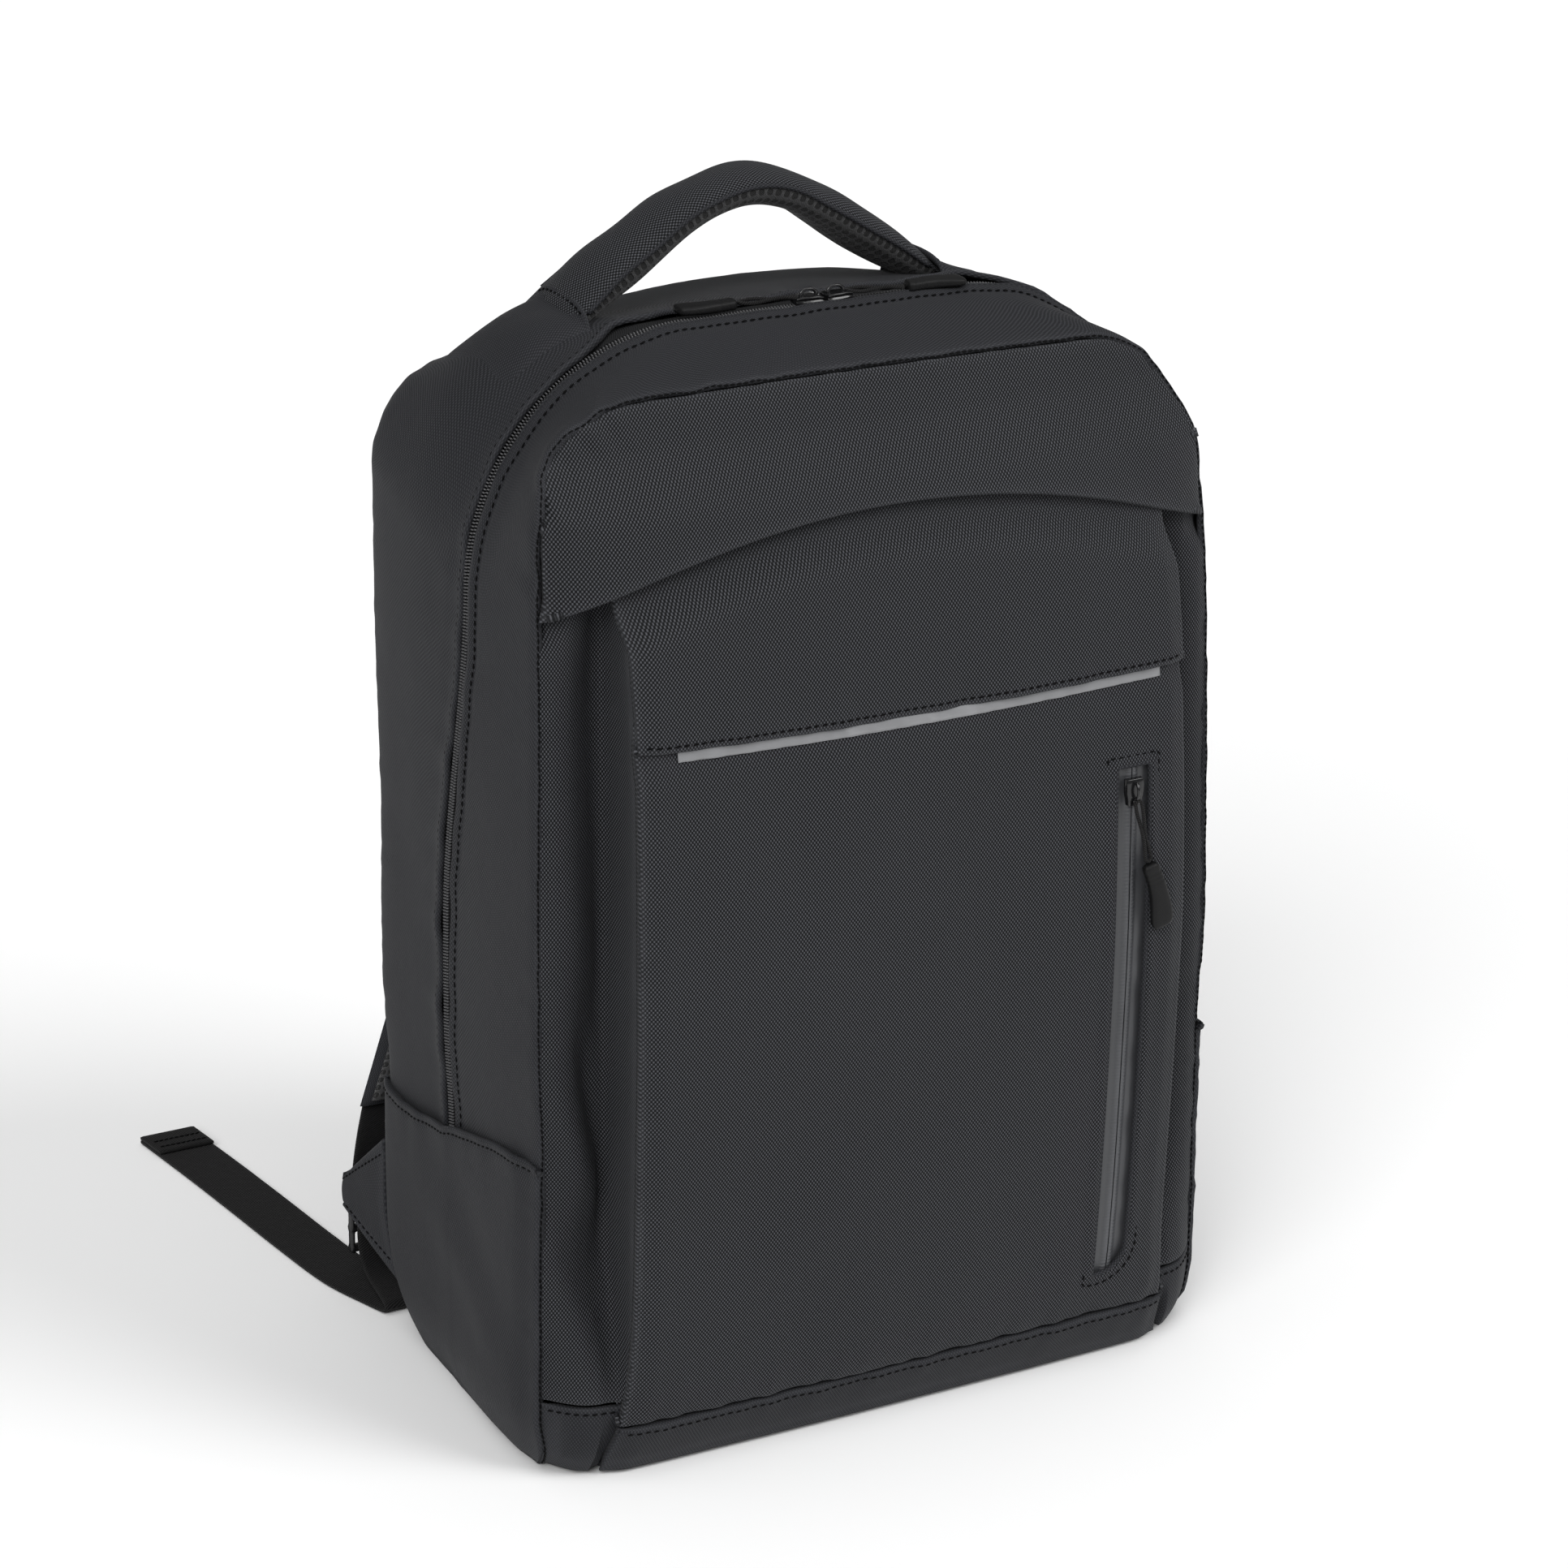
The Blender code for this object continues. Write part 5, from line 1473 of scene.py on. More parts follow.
def makeSlider(name, node, centre, along, out):
    values = slider
    along = unit(np.asarray(along, float))
    wide = unit(np.cross(out, along))
    out = np.cross(along, wide)
    deselect()
    bpy.ops.mesh.primitive_cube_add(size=1.0)
    body = bpy.context.object
    bpy.ops.object.mode_set(mode="EDIT")
    bpy.ops.mesh.select_all(action="SELECT")
    bpy.ops.mesh.subdivide(number_cuts=3)
    bpy.ops.object.mode_set(mode="OBJECT")
    for vertex in body.data.vertices:
        x, y, z = vertex.co
        narrow = mix(1.0, values["waist"], float(smoothStep(-0.1, 0.5, np.array(x))))
        slot = values["slot"] if abs(z) < 0.1 else 1.0
        lower = values["nose"] * values["high"] * (abs(x) > 0.4) * (z > 0)
        vertex.co = (x * values["length"], y * values["width"] * narrow * slot,
                     (z + 0.5) * values["high"] - lower)
    deselect()
    bpy.ops.mesh.primitive_torus_add(major_segments=20, minor_segments=8, major_radius=values["ring"],
                                     minor_radius=values["ringThick"],
                                     location=(-0.0006, 0.0, values["high"] + 0.0002),
                                     rotation=(math.pi / 2, 0.0, 0.0))
    loop = bpy.context.object
    bpy.ops.object.transform_apply(location=True, rotation=True, scale=True)
    for vertex in loop.data.vertices:
        vertex.co.z = values["high"] + (vertex.co.z - values["high"]) * values["ringFlat"]
        vertex.co.x *= values["ringLong"]
    joinPieces((body, loop))
    addModifier(body, "rounding", "BEVEL", width=values["rounding"], segments=2, angle_limit=math.radians(40))
    applyModifiers(body)
    body.data.transform(Matrix.Translation(Vector(centre)) @ Matrix((along, wide, out)).transposed().to_4x4())
    body.name = name
    return finishPiece(body, sliderGloss, (node,))


pull = {
    "cordRadius": 0.0009,
    "spread": 0.0013,
    "gripLength": 0.028,
    "mainGripLength": 0.024,
    "gripWidth": 0.0095,
    "gripThick": 0.0040,
    "cordRise": 0.00055,
    "ridges": (0.14, 0.21, 0.28),
    "ridgeDeep": 0.07,
    "sway": 0.0010,
}

# along the grip, width and thickness as shares
gripRows = (
    (0.00, 0.50, 0.70),
    (0.03, 0.66, 0.98),
    (0.10, 0.72, 1.00),
    (0.45, 0.78, 1.00),
    (0.70, 0.94, 0.92),
    (0.85, 1.00, 0.85),
    (0.95, 0.90, 0.75),
    (0.99, 0.62, 0.55),
    (1.00, 0.30, 0.25),
)


def makePullCord(name, node, start, end, out):  # a doubled cord, closed round the slider's ring
    values = pull
    along, wide, up = (rows[0] for rows in pathFrames((start, end), (out, out)))
    share = np.linspace(0.0, 1.0, 26)
    span = np.linalg.norm(end - start) - 2 * values["cordRadius"]
    first = start + along * values["cordRadius"]
    loop = []
    for travel, turn in ((share, 1.0), (share[::-1], -1.0)):
        apart = values["spread"] * (np.cos(travel * math.pi * 2.0) * 0.25 + 0.75) * turn
        rise = values["cordRise"] * np.sin(travel * math.pi * 2.0) * turn
        loop.append(first + along * (travel * span)[:, None] + wide * apart[:, None] + up * rise[:, None])
    ahead = first + along * (span + values["spread"] * 0.8)
    behind = first - along * values["spread"] * 0.8
    loop = np.concatenate((loop[0], ahead[None], loop[1], behind[None], loop[0][:1]))
    roundTube(name, smoothPath(loop, 0.0009)[:-1], values["cordRadius"] * 0.82, cordBlack, (node,), sides=8,
              closed=True, start=up)


def makePullGrip(name, node, start, end, out, length):
    values = pull
    along, wide, up = (rows[0] for rows in pathFrames((start, end), (out, out)))
    share = np.linspace(0.0, 1.0, 44)
    sizes = follow(gripRows, share)
    fromRidge = (share[:, None] - np.array(values["ridges"])) / 0.018
    ridge = 1.0 - values["ridgeDeep"] * np.exp(-(fromRidge**2)).sum(axis=1)
    angles = np.arange(28) * 2 * math.pi / 28
    square = (np.abs(np.cos(angles)) ** 4 + np.abs(np.sin(angles)) ** 4) ** -0.25
    sway = values["sway"] * np.sin(share * math.pi * 1.2)
    reach = values["spread"] + bag["gap"] + share * length
    centres = start + along * reach[:, None] + wide * sway[:, None]
    flat = np.outer(sizes[:, 1] * ridge * values["gripWidth"] / 2, np.cos(angles) * square)
    tall = np.outer(sizes[:, 2] * ridge * values["gripThick"] / 2, np.sin(angles) * square)
    tubePiece(name, centres[:, None] + wide * flat[..., None] + up * tall[..., None], rubberBlack, (node,))


def makePull(name, node, start, end, gripEnd, out, length):
    start, end, gripEnd = (np.asarray(point, float) for point in (start, end, gripEnd))
    makePullCord(name + "Cord", node + "_cord", start, end, out)
    makePullGrip(name + "Grip", node + "_grip", end, gripEnd, out, length)


def makeMainPulls():
    values = pull
    chainY = float(wallShape(np.array(wallForm["chainPlace"]))["crown"])
    up = np.array((0.0, 0.0, 1.0))
    lying = bag["height"] + values["gripThick"] / 2 + bag["gap"]
    half = slider["length"] / 2
    for (side, word), restY in zip(bothSides, (0.004, -0.003)):
        node = word.lower()
        x = side * (half + 0.001)
        makeSlider("mainSlider" + word, "main_slider_" + node, (x, chainY, bag["height"] + bag["gap"]),
                   (side, 0.0, 0.0), up)
        startX = x + side * (half + values["spread"] + bag["gap"] - 0.0030)
        end = np.array((side * 0.033, chainY + restY, lying))
        gripEnd = end + np.array((side * values["mainGripLength"], restY * 0.1, 0.0))
        makePull("mainPull" + word, "main_pull_" + node, (startX, chainY, lying + 0.0006), end, gripEnd, up,
                 values["mainGripLength"])


makeMainZip()
makeMainPulls()
print("main zip made")


# pocket zip

pocketZip = {
    "deep": 0.0026,
    "hem": 0.0040,
    "weltRadius": 0.0011,
    "toothPitch": 0.00150,
    "toothRise": 0.00022,
    "toothPlace": 0.0016,
    "slit": 0.00025,
    "bulge": 0.0010,
    "wave": 0.0004,
    "sliderZ": 0.2520,
    "cordOver": 0.0022,
    # the pull's start, its grip's start and its grip's end: right of and below the slider
    "pullKnots": ((0.0005, 0.0030), (0.0055, 0.028), (0.0135, 0.056)),
}


def tapeFace(x, z):
    return panelFace(x, z) - pocketZip["deep"]


def makePocketTapes():
    values = pocketZip
    middle = zipWindow["x"]
    half = zipWindow["width"] / 2 + values["hem"] * 0.7
    low, high = zipWindow["low"] - values["hem"], zipWindow["high"] + values["hem"]
    for word, start, end in (("Left", -half, -values["slit"]), ("Right", values["slit"], half)):
        x, z = np.meshgrid(middle + np.linspace(start, end, 22), np.linspace(low, high, 620))
        toSlit = np.abs(x - middle)
        bulge = values["bulge"] * np.exp(-(toSlit / 0.0024) ** 4)
        besideTeeth = (toSlit - values["toothPlace"]) / 0.0009
        teeth = values["toothRise"] * np.sin(z * 2 * math.pi / values["toothPitch"])
        teeth = teeth * np.exp(-(besideTeeth**2))
        uneven = wander(np.stack((x, z * 0.35, z), axis=-1), 0.02, 91)
        wave = values["wave"] * uneven * (toSlit / half) * (word == "Right")
        grid = np.stack((x, -(tapeFace(x, z) + bulge + teeth + wave), z), axis=-1)
        clothPiece("pocketTape" + word, grid, coatedTape, ("pocket_zip_tape_" + word.lower(),), wall=0.0006)


def closedOutline(grow):
    outline = windowOutline(grow)
    return np.concatenate((outline, outline[:1]))


def makePocketZip():
    values = pocketZip
    forwards = np.array((0.0, -1.0, 0.0))
    makePocketTapes()
    ring = closedOutline(0.0002)
    run = pathRun(ring)
    marks = np.linspace(0.0, run[-1], 420)[:-1]
    welt = onPanel(np.interp(marks, run, ring[:, 0]), np.interp(marks, run, ring[:, 1]))
    welt[:, 1] += values["weltRadius"] * 0.9
    roundTube("windowWelt", welt, values["weltRadius"], canvasSide, (), 10, True, forwards)
    ring = closedOutline(zipWindow["lip"])
    line = onPanel(ring[:, 0], ring[:, 1])
    stitchLine("windowStitches", line, np.tile(forwards, (len(line), 1)))
    x, z = np.array(zipWindow["x"]), np.array(values["sliderZ"])
    base = (float(x), float(-tapeFace(x, z) - 0.0009), float(z))
    makeSlider("pocketSlider", "pocket_slider", base, (0.0, 0.0, -1.0), forwards)
    resting = pull["gripThick"] / 2 + 3 * bag["gap"]
    knots = []
    for (right, down), over in zip(values["pullKnots"], (values["cordOver"], resting, resting)):
        face = panelFace(x + right, z - down) + over
        knots.append((float(x) + right, -float(face), float(z) - down))
    makePull("pocketPull", "pocket_pull", *knots, forwards, pull["gripLength"])


strip = {"left": -0.101, "right": 0.104, "high": 0.0036, "above": 0.0012, "stand": 0.0007, "wave": 0.00018}


def makeReflectiveStrip():
    values = strip
    top = front["split"] - bag["gap"]
    x, z = np.meshgrid(np.linspace(values["left"], values["right"], 160),
                       np.linspace(top - values["high"], top + values["above"], 7))
    z, top = z - hemBow(x), top - hemBow(x)
    grid = onPanel(x, z)
    wave = values["wave"] * ripple(x + 0.4 * z, 0.011, 95)
    grid[..., 1] -= values["stand"] + wave * (1.0 - smoothStep(top - 0.002, top, z))
    clothPiece("reflectiveStrip", grid, reflectiveTape, ("reflective_strip",), wall=0.0004)


makePocketZip()
makeReflectiveStrip()
print("pocket zip made")


# back and base

back = {
    "pad": 0.0052,
    "puff": 0.005,
    "columns": 110,
    "rows": 150,
    "channels": (0.105, 0.175, 0.245, 0.315),
    "channelSlope": 0.10,
    "channelWidth": 0.0042,
    "border": 0.020,
    "centre": 0.018,
}


def makeBack():
    values = back
    inset = bag["layer"] + bag["gap"]
    across, side, rise = overTop(values["columns"])
    upper = wallPoint(0.0, rise, side, inset)
    shoulder = float(wallPoint(0.0, wallForm["sideShare"], 1.0)[2])
    low = front["footLift"]
    step = np.linspace(0.0, 1.0, values["rows"])[:, None]
    z = mix(low, upper[:, 2], step)
    level = mix(low, shoulder, step)
    wide = sidePoint(np.zeros_like(level), level, 1.0, inset)[..., 0]
    x = mix(across * wide, upper[:, 0], smoothStep(0.5, 1.0, step))
    x = np.where(np.abs(across) > 0.999, across * wide, x)
    puff = values["puff"] * (1.0 - np.abs(across) ** 6) * smoothStep(0.0, 0.15, step)
    puff = puff * smoothStep(0.0, 0.12, 1.0 - step)
    flat = np.stack((x, depthAt(np.zeros_like(z), z) + puff, z), axis=-1)
    toSide = wide - np.abs(x)
    inside = smoothStep(values["border"] - 0.004, values["border"] + 0.008, toSide)
    inside = inside * smoothStep(0.035, 0.048, z) * (1.0 - smoothStep(0.355, 0.370, z))
    pads = values["pad"] * inside * smoothStep(values["centre"] * 0.5, values["centre"] * 1.3, np.abs(x))
    for height in values["channels"]:
        arch = height + values["channelSlope"] * np.abs(x) - 0.006
        pads = pads * (1.0 - 0.85 * np.exp(-((z - arch) / values["channelWidth"]) ** 2))
    pads += 0.0008 * wander(flat, 0.06, 101) * inside
    pads -= 0.0010 * np.exp(-((toSide - values["border"]) / 0.0025) ** 2) * smoothStep(0.035, 0.045, z)
    piece = clothPiece("backPanel", raised(flat, pads), meshBlack, ("back_panel",),
                       ("low", "high", "left", "right"), 0.0013)
    return flat


backYoke = {"from": 0.895, "stand": 0.0022, "hem": 0.0030, "fade": 0.006}


def makeBackYoke(flat):  # canvas patch that carries the tops of the straps
    values = backYoke
    grid = flat[int(len(flat) * values["from"]):]
    toHem = runLength(grid, 0)
    edge = np.minimum(toHem[-1:] - toHem, values["fade"]) / values["fade"]
    grid = raised(grid, (values["stand"] + hemRelief(toHem, values["hem"], 0.0006, 0.0004)) * edge)
    clothPiece("backYoke", grid, canvasSide, (), ("low",), 0.0012)
    hemStitches("backYokeStitches", grid, values["hem"], "low", 3, -3)


base = {
    "sideInset": 0.0063,
    "rearInset": 0.0105,
    "cornerCut": 0.018,
    "lift": 0.0002,
    "rise": 0.0009,
    "wall": 0.0020,
}


def makeBase():
    values = base
    half = float(sidePoint(np.array(0.5), np.array(bag["gap"]), 1.0, values["sideInset"])[0])
    rear = float(depthAt(np.array(0.0), np.array(0.0))) - values["rearInset"]
    nose = float(pocketDepth(np.array(0.0))) - 2 * bag["layer"]
    across, rearward = shares((44, 90), (-1.0, 0.0))
    size = np.abs(across)
    y = mix(-nose + values["cornerCut"] * smoothStep(0.86, 1.0, size), rear, rearward)
    z = values["lift"] + values["rise"] * (1 - size**8) * np.sin(rearward * math.pi) ** 0.5
    grid = np.stack((across * half, y, z), axis=-1)
    clothPiece("basePanel", grid, canvasSide, ("base_panel",), wall=values["wall"])


flatBack = makeBack()
makeBackYoke(flatBack)
makeBase()
print("back and base made")


# carry handle

# x, height over the bag's top, half width, half thickness
handleRows = (
    (-0.0915, -0.0060, 0.0220, 0.0035),
    (-0.0830, 0.0010, 0.0205, 0.0062),
    (-0.0660, 0.0125, 0.0180, 0.0084),
    (-0.0430, 0.0270, 0.0160, 0.0082),
    (-0.0240, 0.0350, 0.0142, 0.0077),
    (-0.0090, 0.0366, 0.0138, 0.0072),
    (0.0060, 0.0328, 0.0142, 0.0075),
    (0.0200, 0.0250, 0.0155, 0.0080),
    (0.0360, 0.0148, 0.0170, 0.0082),
    (0.0520, 0.0045, 0.0185, 0.0074),
    (0.0660, -0.0030, 0.0195, 0.0050),
)

handle = {
    "y": 0.022,
    "step": 0.0020,
    "meshShare": -0.20,
    "around": 34,
    "underAround": 22,
    "folds": 0.0005,
    "piping": 0.0009,
}


def handleLine():  # centre, half width and half thickness along the handle
    rows = [(x, handle["y"], bag["height"] + z, wide, thick) for x, z, wide, thick in handleRows]
    return smoothPath(rows, handle["step"])


def topHeight(x, y):
    places = np.linspace(0.0, 1.0, 81)
    shape = wallShape(places)
    place = np.interp(-y, -shape["crown"], places)
    shape = wallShape(place)
    half = shape["half"] * mix(1.0, shape["halfTop"] / shape["half"], 0.97)
    over = np.maximum(0.0, np.abs(x) - (half - shape["corner"]))
    z = shape["top"] - shape["corner"] + np.sqrt(np.maximum(shape["corner"] ** 2 - over**2, 0.0))
    return z - shape["drop"] * (x / half) ** 2


def makeHandle():
    values = handle
    line = handleLine()
    centres, halfWidth, halfThick = line[:, :3], line[:, 3], line[:, 4]
    along = unit(np.gradient(centres, axis=0))
    up = np.stack((-along[:, 2], np.zeros(len(along)), along[:, 0]), axis=1)
    run = pathRun(centres)
    low = -math.asin(values["meshShare"])

    def rings(start, end, count, widthShare, drop, bulge):
        angles = np.linspace(start, end, count)
        found = []
        for i in range(len(centres)):
            below = np.clip(-np.sin(angles) + 0.4, 0, 1)
            swell = 1.0 + bulge * np.sin(run[i] / 0.0105 + 2.0 * np.cos(angles)) * below
            across = np.cos(angles) * halfWidth[i] * widthShare
            rise = np.sin(angles) * halfThick[i] * swell
            ring = centres[i] - up[i] * drop + np.outer(across, (0.0, 1.0, 0.0)) + np.outer(rise, up[i])
            ring[:, 2] = np.maximum(ring[:, 2], topHeight(ring[:, 0], ring[:, 1]) + 0.0004)
            found.append(ring)
        return np.array(found)

    cover = rings(low, math.pi - low, values["around"], 1.0, 0.0, 0.03)
    cover += up[:, None] * (values["folds"] * wander(cover, 0.030, 111))[..., None]
    piece = tubePiece("handleCover", cover, canvasFront, ("handle_cover",))
    under = rings(low - 0.02, -math.pi - low + 0.02, values["underAround"], 0.97, 0.0003, 0.08)[2:-2]
    piece = tubePiece("handleMesh", under, meshBlack, ("handle_mesh",))
    for column, word in ((0, "Near"), (-1, "Far")):
        roundTube("handlePiping" + word, cover[4:-4, column], values["piping"], canvasSide, (), 8)


collar = {
    "over": 0.0055,
    "beyond": 0.036,
    "stand": 0.0011,
    "flareHem": 0.0026,
    "flareFar": 0.0160,
    "flareNear": 0.0040,
    "hem": 0.0026,
    "under": 0.0014,
    "backRoom": 0.030,
}


def makeCollars():  # the top's cloth rises over each end of the handle and is hemmed there
    values = collar
    foldLine = float(wallShape(np.array(wallForm["rearEdge"]))["crown"])
    line = handleLine()
    for word, path, way in (("Left", line, -1.0), ("Right", line[::-1], 1.0)):
        run = pathRun(path[:, :3])
        beyond = values["beyond"] * (1.0 if way < 0 else 0.4)
        grid = []
        for reach in np.linspace(-beyond, values["over"], 32):
            centre = [np.interp(max(reach, 0.0), run, path[:, i]) for i in range(5)]
            out = max(-reach, 0.0) / beyond
            x = centre[0] + way * max(-reach, 0.0)
            half = centre[3] + values["stand"] + mix(values["flareHem"], values["flareFar"], out)
            near = min(half + values["flareNear"], centre[1] - foldLine - 0.0025)
            far = min(half, values["backRoom"])
            place = np.sin(np.linspace(-math.pi / 2, math.pi / 2, 45))
            y = centre[1] + np.where(place < 0, near, far) * place
            row = np.stack((np.full_like(y, x), y, topHeight(np.full_like(y, x), y)), axis=1)
            edge = smoothStep(0.90, 1.0, np.abs(place))
            sunk = values["under"] * np.maximum(edge, smoothStep(0.80, 1.0, out))
            ground = row[:, 2] + handleShoulder(row) - sunk
            top = centre[2] + centre[4] + values["stand"]
            lift = np.maximum(top - ground, 0.0) * (1.0 - out) ** 1.5 + 0.0006
            row[:, 2] = ground + lift * (1.0 - np.abs(place) ** 3.0) ** 0.65
            grid.append(row)
        grid = np.array(grid)
        toHem = runLength(grid, 0)
        toHem = toHem[-1:] - toHem
        relief = hemRelief(toHem, values["hem"], 0.0007, 0.0005) + 0.0002 * wander(grid, 0.03, 141)
        grid = raised(grid, relief)
        clothPiece("handleCollar" + word, grid, canvasSide, (), ("high",), 0.0008)
        hemStitches("collarStitches" + word, grid, values["hem"], "high", 9, -9)


makeHandle()
makeCollars()
print("handle made")


# shoulder straps

# distance from the middle, depth behind the back seam, height, half width
strapRows = (
    (0.0500, 0.0056, 0.4060, 0.0330),
    (0.0500, 0.0220, 0.3860, 0.0330),
    (0.0505, 0.0450, 0.3450, 0.0330),
    (0.0520, 0.0570, 0.3000, 0.0320),
    (0.0560, 0.0610, 0.2500, 0.0310),
    (0.0650, 0.0580, 0.2000, 0.0290),
    (0.0800, 0.0500, 0.1550, 0.0270),
    (0.0990, 0.0410, 0.1150, 0.0250),
    (0.1210, 0.0320, 0.0780, 0.0205),
)

# webbing from the strap's end down to the adjuster
linkRows = (
    (0.1272, 0.1062, 0.0768),
    (0.1295, 0.1070, 0.0640),
    (0.1305, 0.1100, 0.0480),
    (0.1310, 0.1110, 0.0330),
)

# webbing from the wing through the adjuster, folded on the floor, out to its free end
tailRows = (
    (0.1310, 0.1035, 0.0420),
    (0.1310, 0.1045, 0.0300),
    (0.1312, 0.1050, 0.0180),
    (0.1316, 0.1010, 0.0090),
    (0.1325, 0.0920, 0.0052),
    (0.1335, 0.0800, 0.0042),
    (0.1345, 0.0705, 0.0036),
    (0.1350, 0.0685, 0.0024),
    (0.1356, 0.0705, 0.0012),
    (0.1390, 0.0800, 0.0010),
    (0.1470, 0.1050, 0.0010),
    (0.1525, 0.1420, 0.0010),
    (0.1570, 0.1800, 0.0010),
    (0.1620, 0.2200, 0.0010),
    (0.1680, 0.2625, 0.0010),
)

strap = {
    "thick": 0.0087,
    "meshThick": 0.0022,
    "shift": 0.00115,
    "boxRows": (2, 13),
    "edge": 0.0045,
    "meshPart": 0.86,
    "points": 36,
    "meshPoints": 26,
    "webPoints": 20,
    "webWidth": 0.025,
    "webThick": 0.0015,
    "hemLength": 0.020,
    "hemStitch": 0.0105,
    "lock": (0.131, 0.1085, 0.0210),
    "lockSize": (0.030, 0.0045, 0.022),
    "lockBar": 0.0035,
    "lockRail": 0.0022,
}


def bandFrames(path):  # the way out of a band whose width lies along X
    along = unit(np.gradient(path, axis=0))
    return unit(np.stack((np.zeros(len(path)), along[:, 2], -along[:, 1]), axis=1))


def bandSection(count, under, join=slice(None)):  # shares across a band's section, and the face of each
    share = np.concatenate((np.linspace(-1.0, 1.0, count), np.linspace(1.0, -1.0, count)[join]))
    above = np.concatenate((np.full(count, 1.0), np.full(len(share) - count, under)))
    return share, above, (1.0 - np.abs(share) ** 6) ** 0.5


def makeStrap(side, word):
    values = strap
    behind = float(depthAt(np.array(0.0), np.array(bag["height"] / 2)))
    line = smoothPath([(x, behind + y, z, half) for x, y, z, half in strapRows], 0.0026)
    centres, half = line[:, :3] * np.array((side, 1.0, 1.0)), line[:, 3]
    out = bandFrames(centres)
    run = pathRun(centres)
    wide = np.array((1.0, 0.0, 0.0))
    halfThick = values["thick"] / 2
    share, above, dome = bandSection(values["points"], -1.0, slice(1, -1))
    centres = centres - out * values["shift"]
    rings = []
    for i in range(len(centres)):
        toEdge = (1.0 - np.abs(share)) * half[i]
        seam = 1.0 - 0.38 * np.exp(-((toEdge - values["edge"]) / 0.0016) ** 2) * (above < 0)
        lowEnd = mix(0.55, 1.0, min(1.0, (run[-1] - run[i]) / 0.012))
        highEnd = mix(0.28, 1.0, min(1.0, run[i] / 0.036) ** 0.7)
        rise = above * halfThick * dome * seam * lowEnd * highEnd
        rings.append(centres[i] + wide * (share * half[i])[:, None] + np.outer(rise, out[i]))
    rings = np.array(rings)
    rings += out[:, None] * (0.0006 * wander(rings, 0.05, 121))[..., None]
    piece = tubePiece("shoulderStrap" + word, rings, canvasSide, ("shoulder_strap_" + word.lower(),))
    for edge in (-1.0, 1.0):
        line = centres + wide * (edge * (half - values["edge"]))[:, None] - out * (halfThick * 0.62)
        stitchLine("strapStitches" + word + ("In" if edge * side < 0 else "Out"), line[3:-3], -out[3:-3])
    makeStrapBox(word, rings[:, values["points"] + 2:-2], out)
    makeStrapMesh(word, centres, out, half * values["meshPart"])


def makeStrapBox(word, outer, out):  # a crossed box of stitches holds the top of the strap
    first, last = strap["boxRows"]
    steps = np.linspace(0.0, 1.0, 30)
    ends = ((first, first), (last, last), (first, last), (last, first))
    for number, (start, end) in enumerate(ends):
        rows = np.round(mix(start, end, steps)).astype(int)
        columns = np.round(steps * (outer.shape[1] - 1)).astype(int)
        stitchLine("strapBox" + word + str(number), outer[rows, columns], -out[rows])


def makeStrapMesh(word, centres, out, half):
    values = strap
    share, above, dome = bandSection(values["meshPoints"], 0.0, slice(1, -1))
    rise = values["thick"] / 2 - 0.0002 + above * values["meshThick"] * dome
    across = np.array((1.0, 0.0, 0.0))
    rings = [centres[i] + across * (share * half[i])[:, None] + np.outer(rise, out[i])
             for i in range(1, len(centres) - 1)]
    piece = tubePiece("strapMesh" + word, rings, meshBlack, ("strap_mesh_" + word.lower(),))


def makeWeb(name, path, node):
    values = strap
    out = bandFrames(path)
    share, above = bandSection(values["webPoints"], -1.0)[:2]
    thin = 0.25 * np.exp(-((1.0 - np.abs(share)) / 0.06) ** 2)
    rib = 0.12 * np.exp(-((np.abs(share) - 0.86) / 0.05) ** 2)
    rise = above * values["webThick"] / 2 * (1.0 - thin + rib)
    across = np.outer(share * values["webWidth"] / 2, (1.0, 0.0, 0.0))
    rings = [point + across + np.outer(rise, way) for point, way in zip(path, out)]
    tubePiece(name, rings, webbingBlack, node)


def makeTail(side, word):
    values = strap
    mirror = np.array((side, 1.0, 1.0))
    link = smoothPath(np.array(linkRows) * mirror, 0.002)
    makeWeb("linkWebbing" + word, link, ("link_webbing_" + word.lower(),))
    path = smoothPath(np.array(tailRows) * mirror, 0.002)
    makeWeb("tailWebbing" + word, path, ("tail_webbing_" + word.lower(),))
    run = pathRun(path)
    fold = path[run > run[-1] - values["hemLength"]] + np.array((0.0, 0.0, values["webThick"] + 0.0002))
    makeWeb("tailHem" + word, fold, ())
    across = np.linspace(-values["hemStitch"], values["hemStitch"], 30)
    over = np.array((0.0, 0.0, values["webThick"] / 2 + 0.0001))
    for row, letter in ((2, "A"), (5, "B")):
        line = fold[row] + np.outer(across, (1.0, 0.0, 0.0)) + over
        stitchLine("tailStitches" + word + letter, line, np.tile((0.0, 0.0, 1.0), (30, 1)), 0.0024)


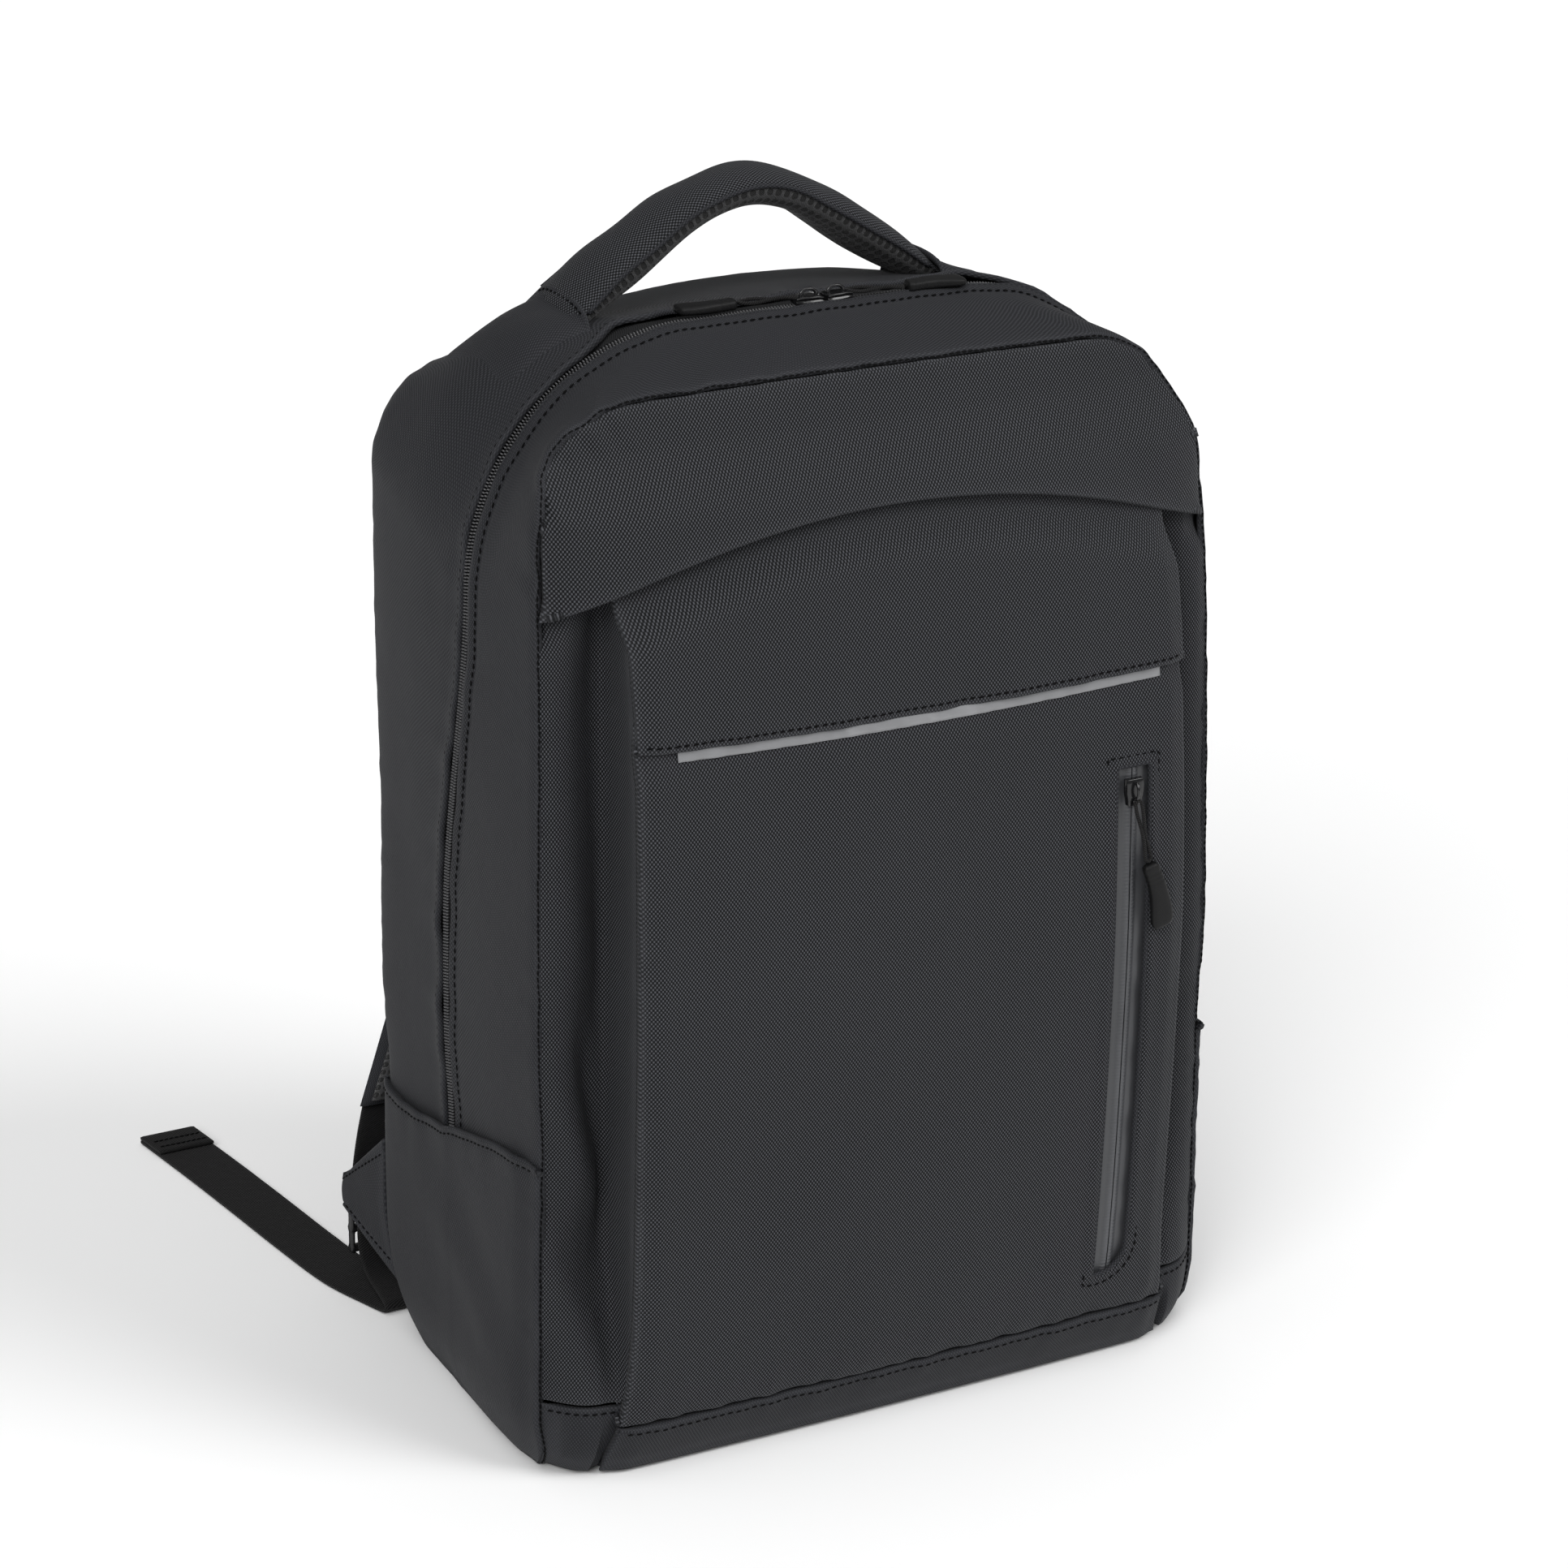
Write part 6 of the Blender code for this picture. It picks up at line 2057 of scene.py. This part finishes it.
def makeLock(side, word):  # ladder lock: rounded rails and bars
    values = strap
    x, y, z = values["lock"]
    wide, thick, high = values["lockSize"]
    bar, rail = values["lockBar"], values["lockRail"]
    bars = [((0.0, 0.0, step * (high - bar) / 2), (wide, thick, bar)) for step in (-1.0, 0.0, 1.0)]
    bars += [((step * (wide - rail) / 2, 0.0, 0.0), (rail, thick, high)) for step in (-1.0, 1.0)]
    made = []
    for centre, size in bars:
        deselect()
        bpy.ops.mesh.primitive_cylinder_add(vertices=20, radius=0.5, depth=1.0)
        piece = bpy.context.object
        if size[0] > size[2]:
            piece.data.transform(Matrix.Rotation(math.pi / 2, 4, "Y"))
        piece.data.transform(Matrix.Diagonal((*size, 1.0)))
        piece.data.transform(Matrix.Translation(Vector(centre)))
        made.append(piece)
    lock = joinPieces(made)
    lock.name = "ladderLock" + word
    addModifier(lock, "joined", "REMESH", mode="VOXEL", voxel_size=0.00045)
    addModifier(lock, "smooth", "SMOOTH", factor=0.6, iterations=4)
    applyModifiers(lock)
    lock.data.transform(Matrix.Translation(Vector((x * side, y, z))))
    finishPiece(lock, plasticBlack, ("adjuster_" + word.lower(),))


# lowest and highest points at the seam and at the tip
wing = {
    "low": (0.0170, 0.0330),
    "high": (0.0780, 0.0470),
    "reach": 0.0360,
    "thick": 0.0022,
    "hem": 0.003,
    "hollow": 0.07,
    "fromSide": 0.0008,
}


def makeWing(side, word):
    values = wing
    out, up = shares((30, 30))
    z = mix(mix(*values["low"], out), mix(*values["high"], out), up)
    upright = np.zeros_like(z)
    seam = depthAt(upright, z)
    far = float(depthAt(np.array(0.0), np.array(bag["height"] / 2)))
    nose = values["reach"] * (1.0 - values["hollow"] * (2.0 * up - 1.0) ** 2)
    y = mix(seam, far, out) + out * nose + 3 * bag["gap"]
    x = mix(sidePoint(upright, z, 1.0)[..., 0] + bag["layer"], bag["width"] / 2 - values["fromSide"], out)
    grid = np.stack((side * x, y, z), axis=-1)
    relief = 0.0005 * wander(grid, 0.04, 131)
    relief += hemRelief(np.minimum(1.0 - up, up) * 0.03, values["hem"], 0.0005, 0.0003)
    sideways = np.array((side, 0.0, 0.0))
    grid = grid + sideways * relief[..., None]
    clothPiece("wing" + word, grid, canvasSide, ("wing_" + word.lower(),), wall=values["thick"])
    for row, name in ((3, "Low"), (-4, "High")):
        line = grid[row, 2:]
        stitchLine("wingStitches" + word + name, line, np.tile(sideways, (len(line), 1)))


for side, word in bothSides:
    makeStrap(side, word)
    makeTail(side, word)
    makeLock(side, word)
    makeWing(side, word)
print("straps made")


# camera, light and floor

camera = {
    "azimuth": -28.41,
    "elevation": 21.68,
    "distance": 1.7997,
    "target": (-0.00233, 0.0, 0.23318),
    "roll": 0.79,
    "lens": 105.2,
}


def makeCamera():
    values = camera
    turn, rise, roll = (math.radians(values[key]) for key in ("azimuth", "elevation", "roll"))
    back = Vector((math.sin(turn) * math.cos(rise), -math.cos(turn) * math.cos(rise), math.sin(rise)))
    right = Vector((math.cos(turn), math.sin(turn), 0.0))
    up = back.cross(right)
    tiltedRight = right * math.cos(roll) + up * math.sin(roll)
    tiltedUp = up * math.cos(roll) - right * math.sin(roll)
    data = bpy.data.cameras.new("camera")
    data.lens = values["lens"]
    data.sensor_width = 36.0
    made = bpy.data.objects.new("camera", data)
    bpy.context.scene.collection.objects.link(made)
    place = Vector(values["target"]) + back * values["distance"]
    frameMatrix = Matrix((tiltedRight, tiltedUp, back)).transposed().to_4x4()
    made.matrix_world = Matrix.Translation(place) @ frameMatrix
    bpy.context.scene.camera = made


studio = {
    "floor": (0.97, 0.97, 0.97),
    "floorSize": 30.0,
    "floorZ": -0.0002,
    "world": (1.0, 1.0, 1.0),
    "worldStrength": 0.16,
    "lights": (
        # name, where from, width in degrees, strength
        ("softLeft", (-1.9, -1.7, 1.9), 34.0, 1.58),
        ("softRight", (1.9, -2.1, 2.0), 32.0, 1.62),
        ("softTop", (-0.3, -0.3, 2.5), 55.0, 0.95),
        ("softBack", (0.6, 0.9, 2.3), 50.0, 0.15),
    ),
}


def makeStudio():
    deselect()
    bpy.ops.mesh.primitive_plane_add(size=1.0)
    floor = bpy.context.object
    floor.name = "studioFloor"
    for vertex in floor.data.vertices:
        vertex.co = (vertex.co.x * studio["floorSize"], vertex.co.y * studio["floorSize"], studio["floorZ"])
    floor.data.materials.append(newMaterial("paleFloor", studio["floor"], 0.9, Specular_IOR_Level=0.0)[0])
    world = bpy.data.worlds.new("studioWorld")
    world.use_nodes = True
    sky = world.node_tree.nodes["Background"]
    sky.inputs["Color"].default_value = opaque(studio["world"])
    rays = addNode(world.node_tree, "ShaderNodeLightPath", (-4, 0))  # the backdrop itself stays white
    level = addNode(world.node_tree, "ShaderNodeMapRange", (-2, 0), {"To Min": studio["worldStrength"]})
    world.node_tree.links.new(rays.outputs["Is Camera Ray"], level.inputs["Value"])
    world.node_tree.links.new(level.outputs["Result"], sky.inputs["Strength"])
    bpy.context.scene.world = world
    for name, place, width, strength in studio["lights"]:
        data = bpy.data.lights.new(name, "SUN")
        data.energy = strength
        data.angle = math.radians(width)
        light = bpy.data.objects.new(name, data)
        light.location = place
        light.rotation_euler = (-Vector(place)).to_track_quat("-Z", "Y").to_euler()
        bpy.context.scene.collection.objects.link(light)
    bpy.context.scene.view_settings.view_transform = "Standard"


makeCamera()
makeStudio()
print("camera and studio made")

settle = {"drop": 0.0110, "x": (0.040, 0.110), "y": (-0.022, 0.032), "z": (0.320, 0.400)}


def settleTop():  # the empty bag's top sinks behind the zip on the right, with all that is sewn to it
    for piece in finished:
        mesh = piece.data
        points = np.empty(len(mesh.vertices) * 3, np.float32)
        mesh.vertices.foreach_get("co", points)
        points = points.reshape(-1, 3)
        share = np.ones(len(points))
        for axis, name in enumerate("xyz"):
            share = share * smoothStep(*settle[name], points[:, axis])
        if share.max() > 0.0:
            points[:, 2] -= settle["drop"] * share
            mesh.vertices.foreach_set("co", points.ravel())
            mesh.update()


settleTop()
print("top settled")
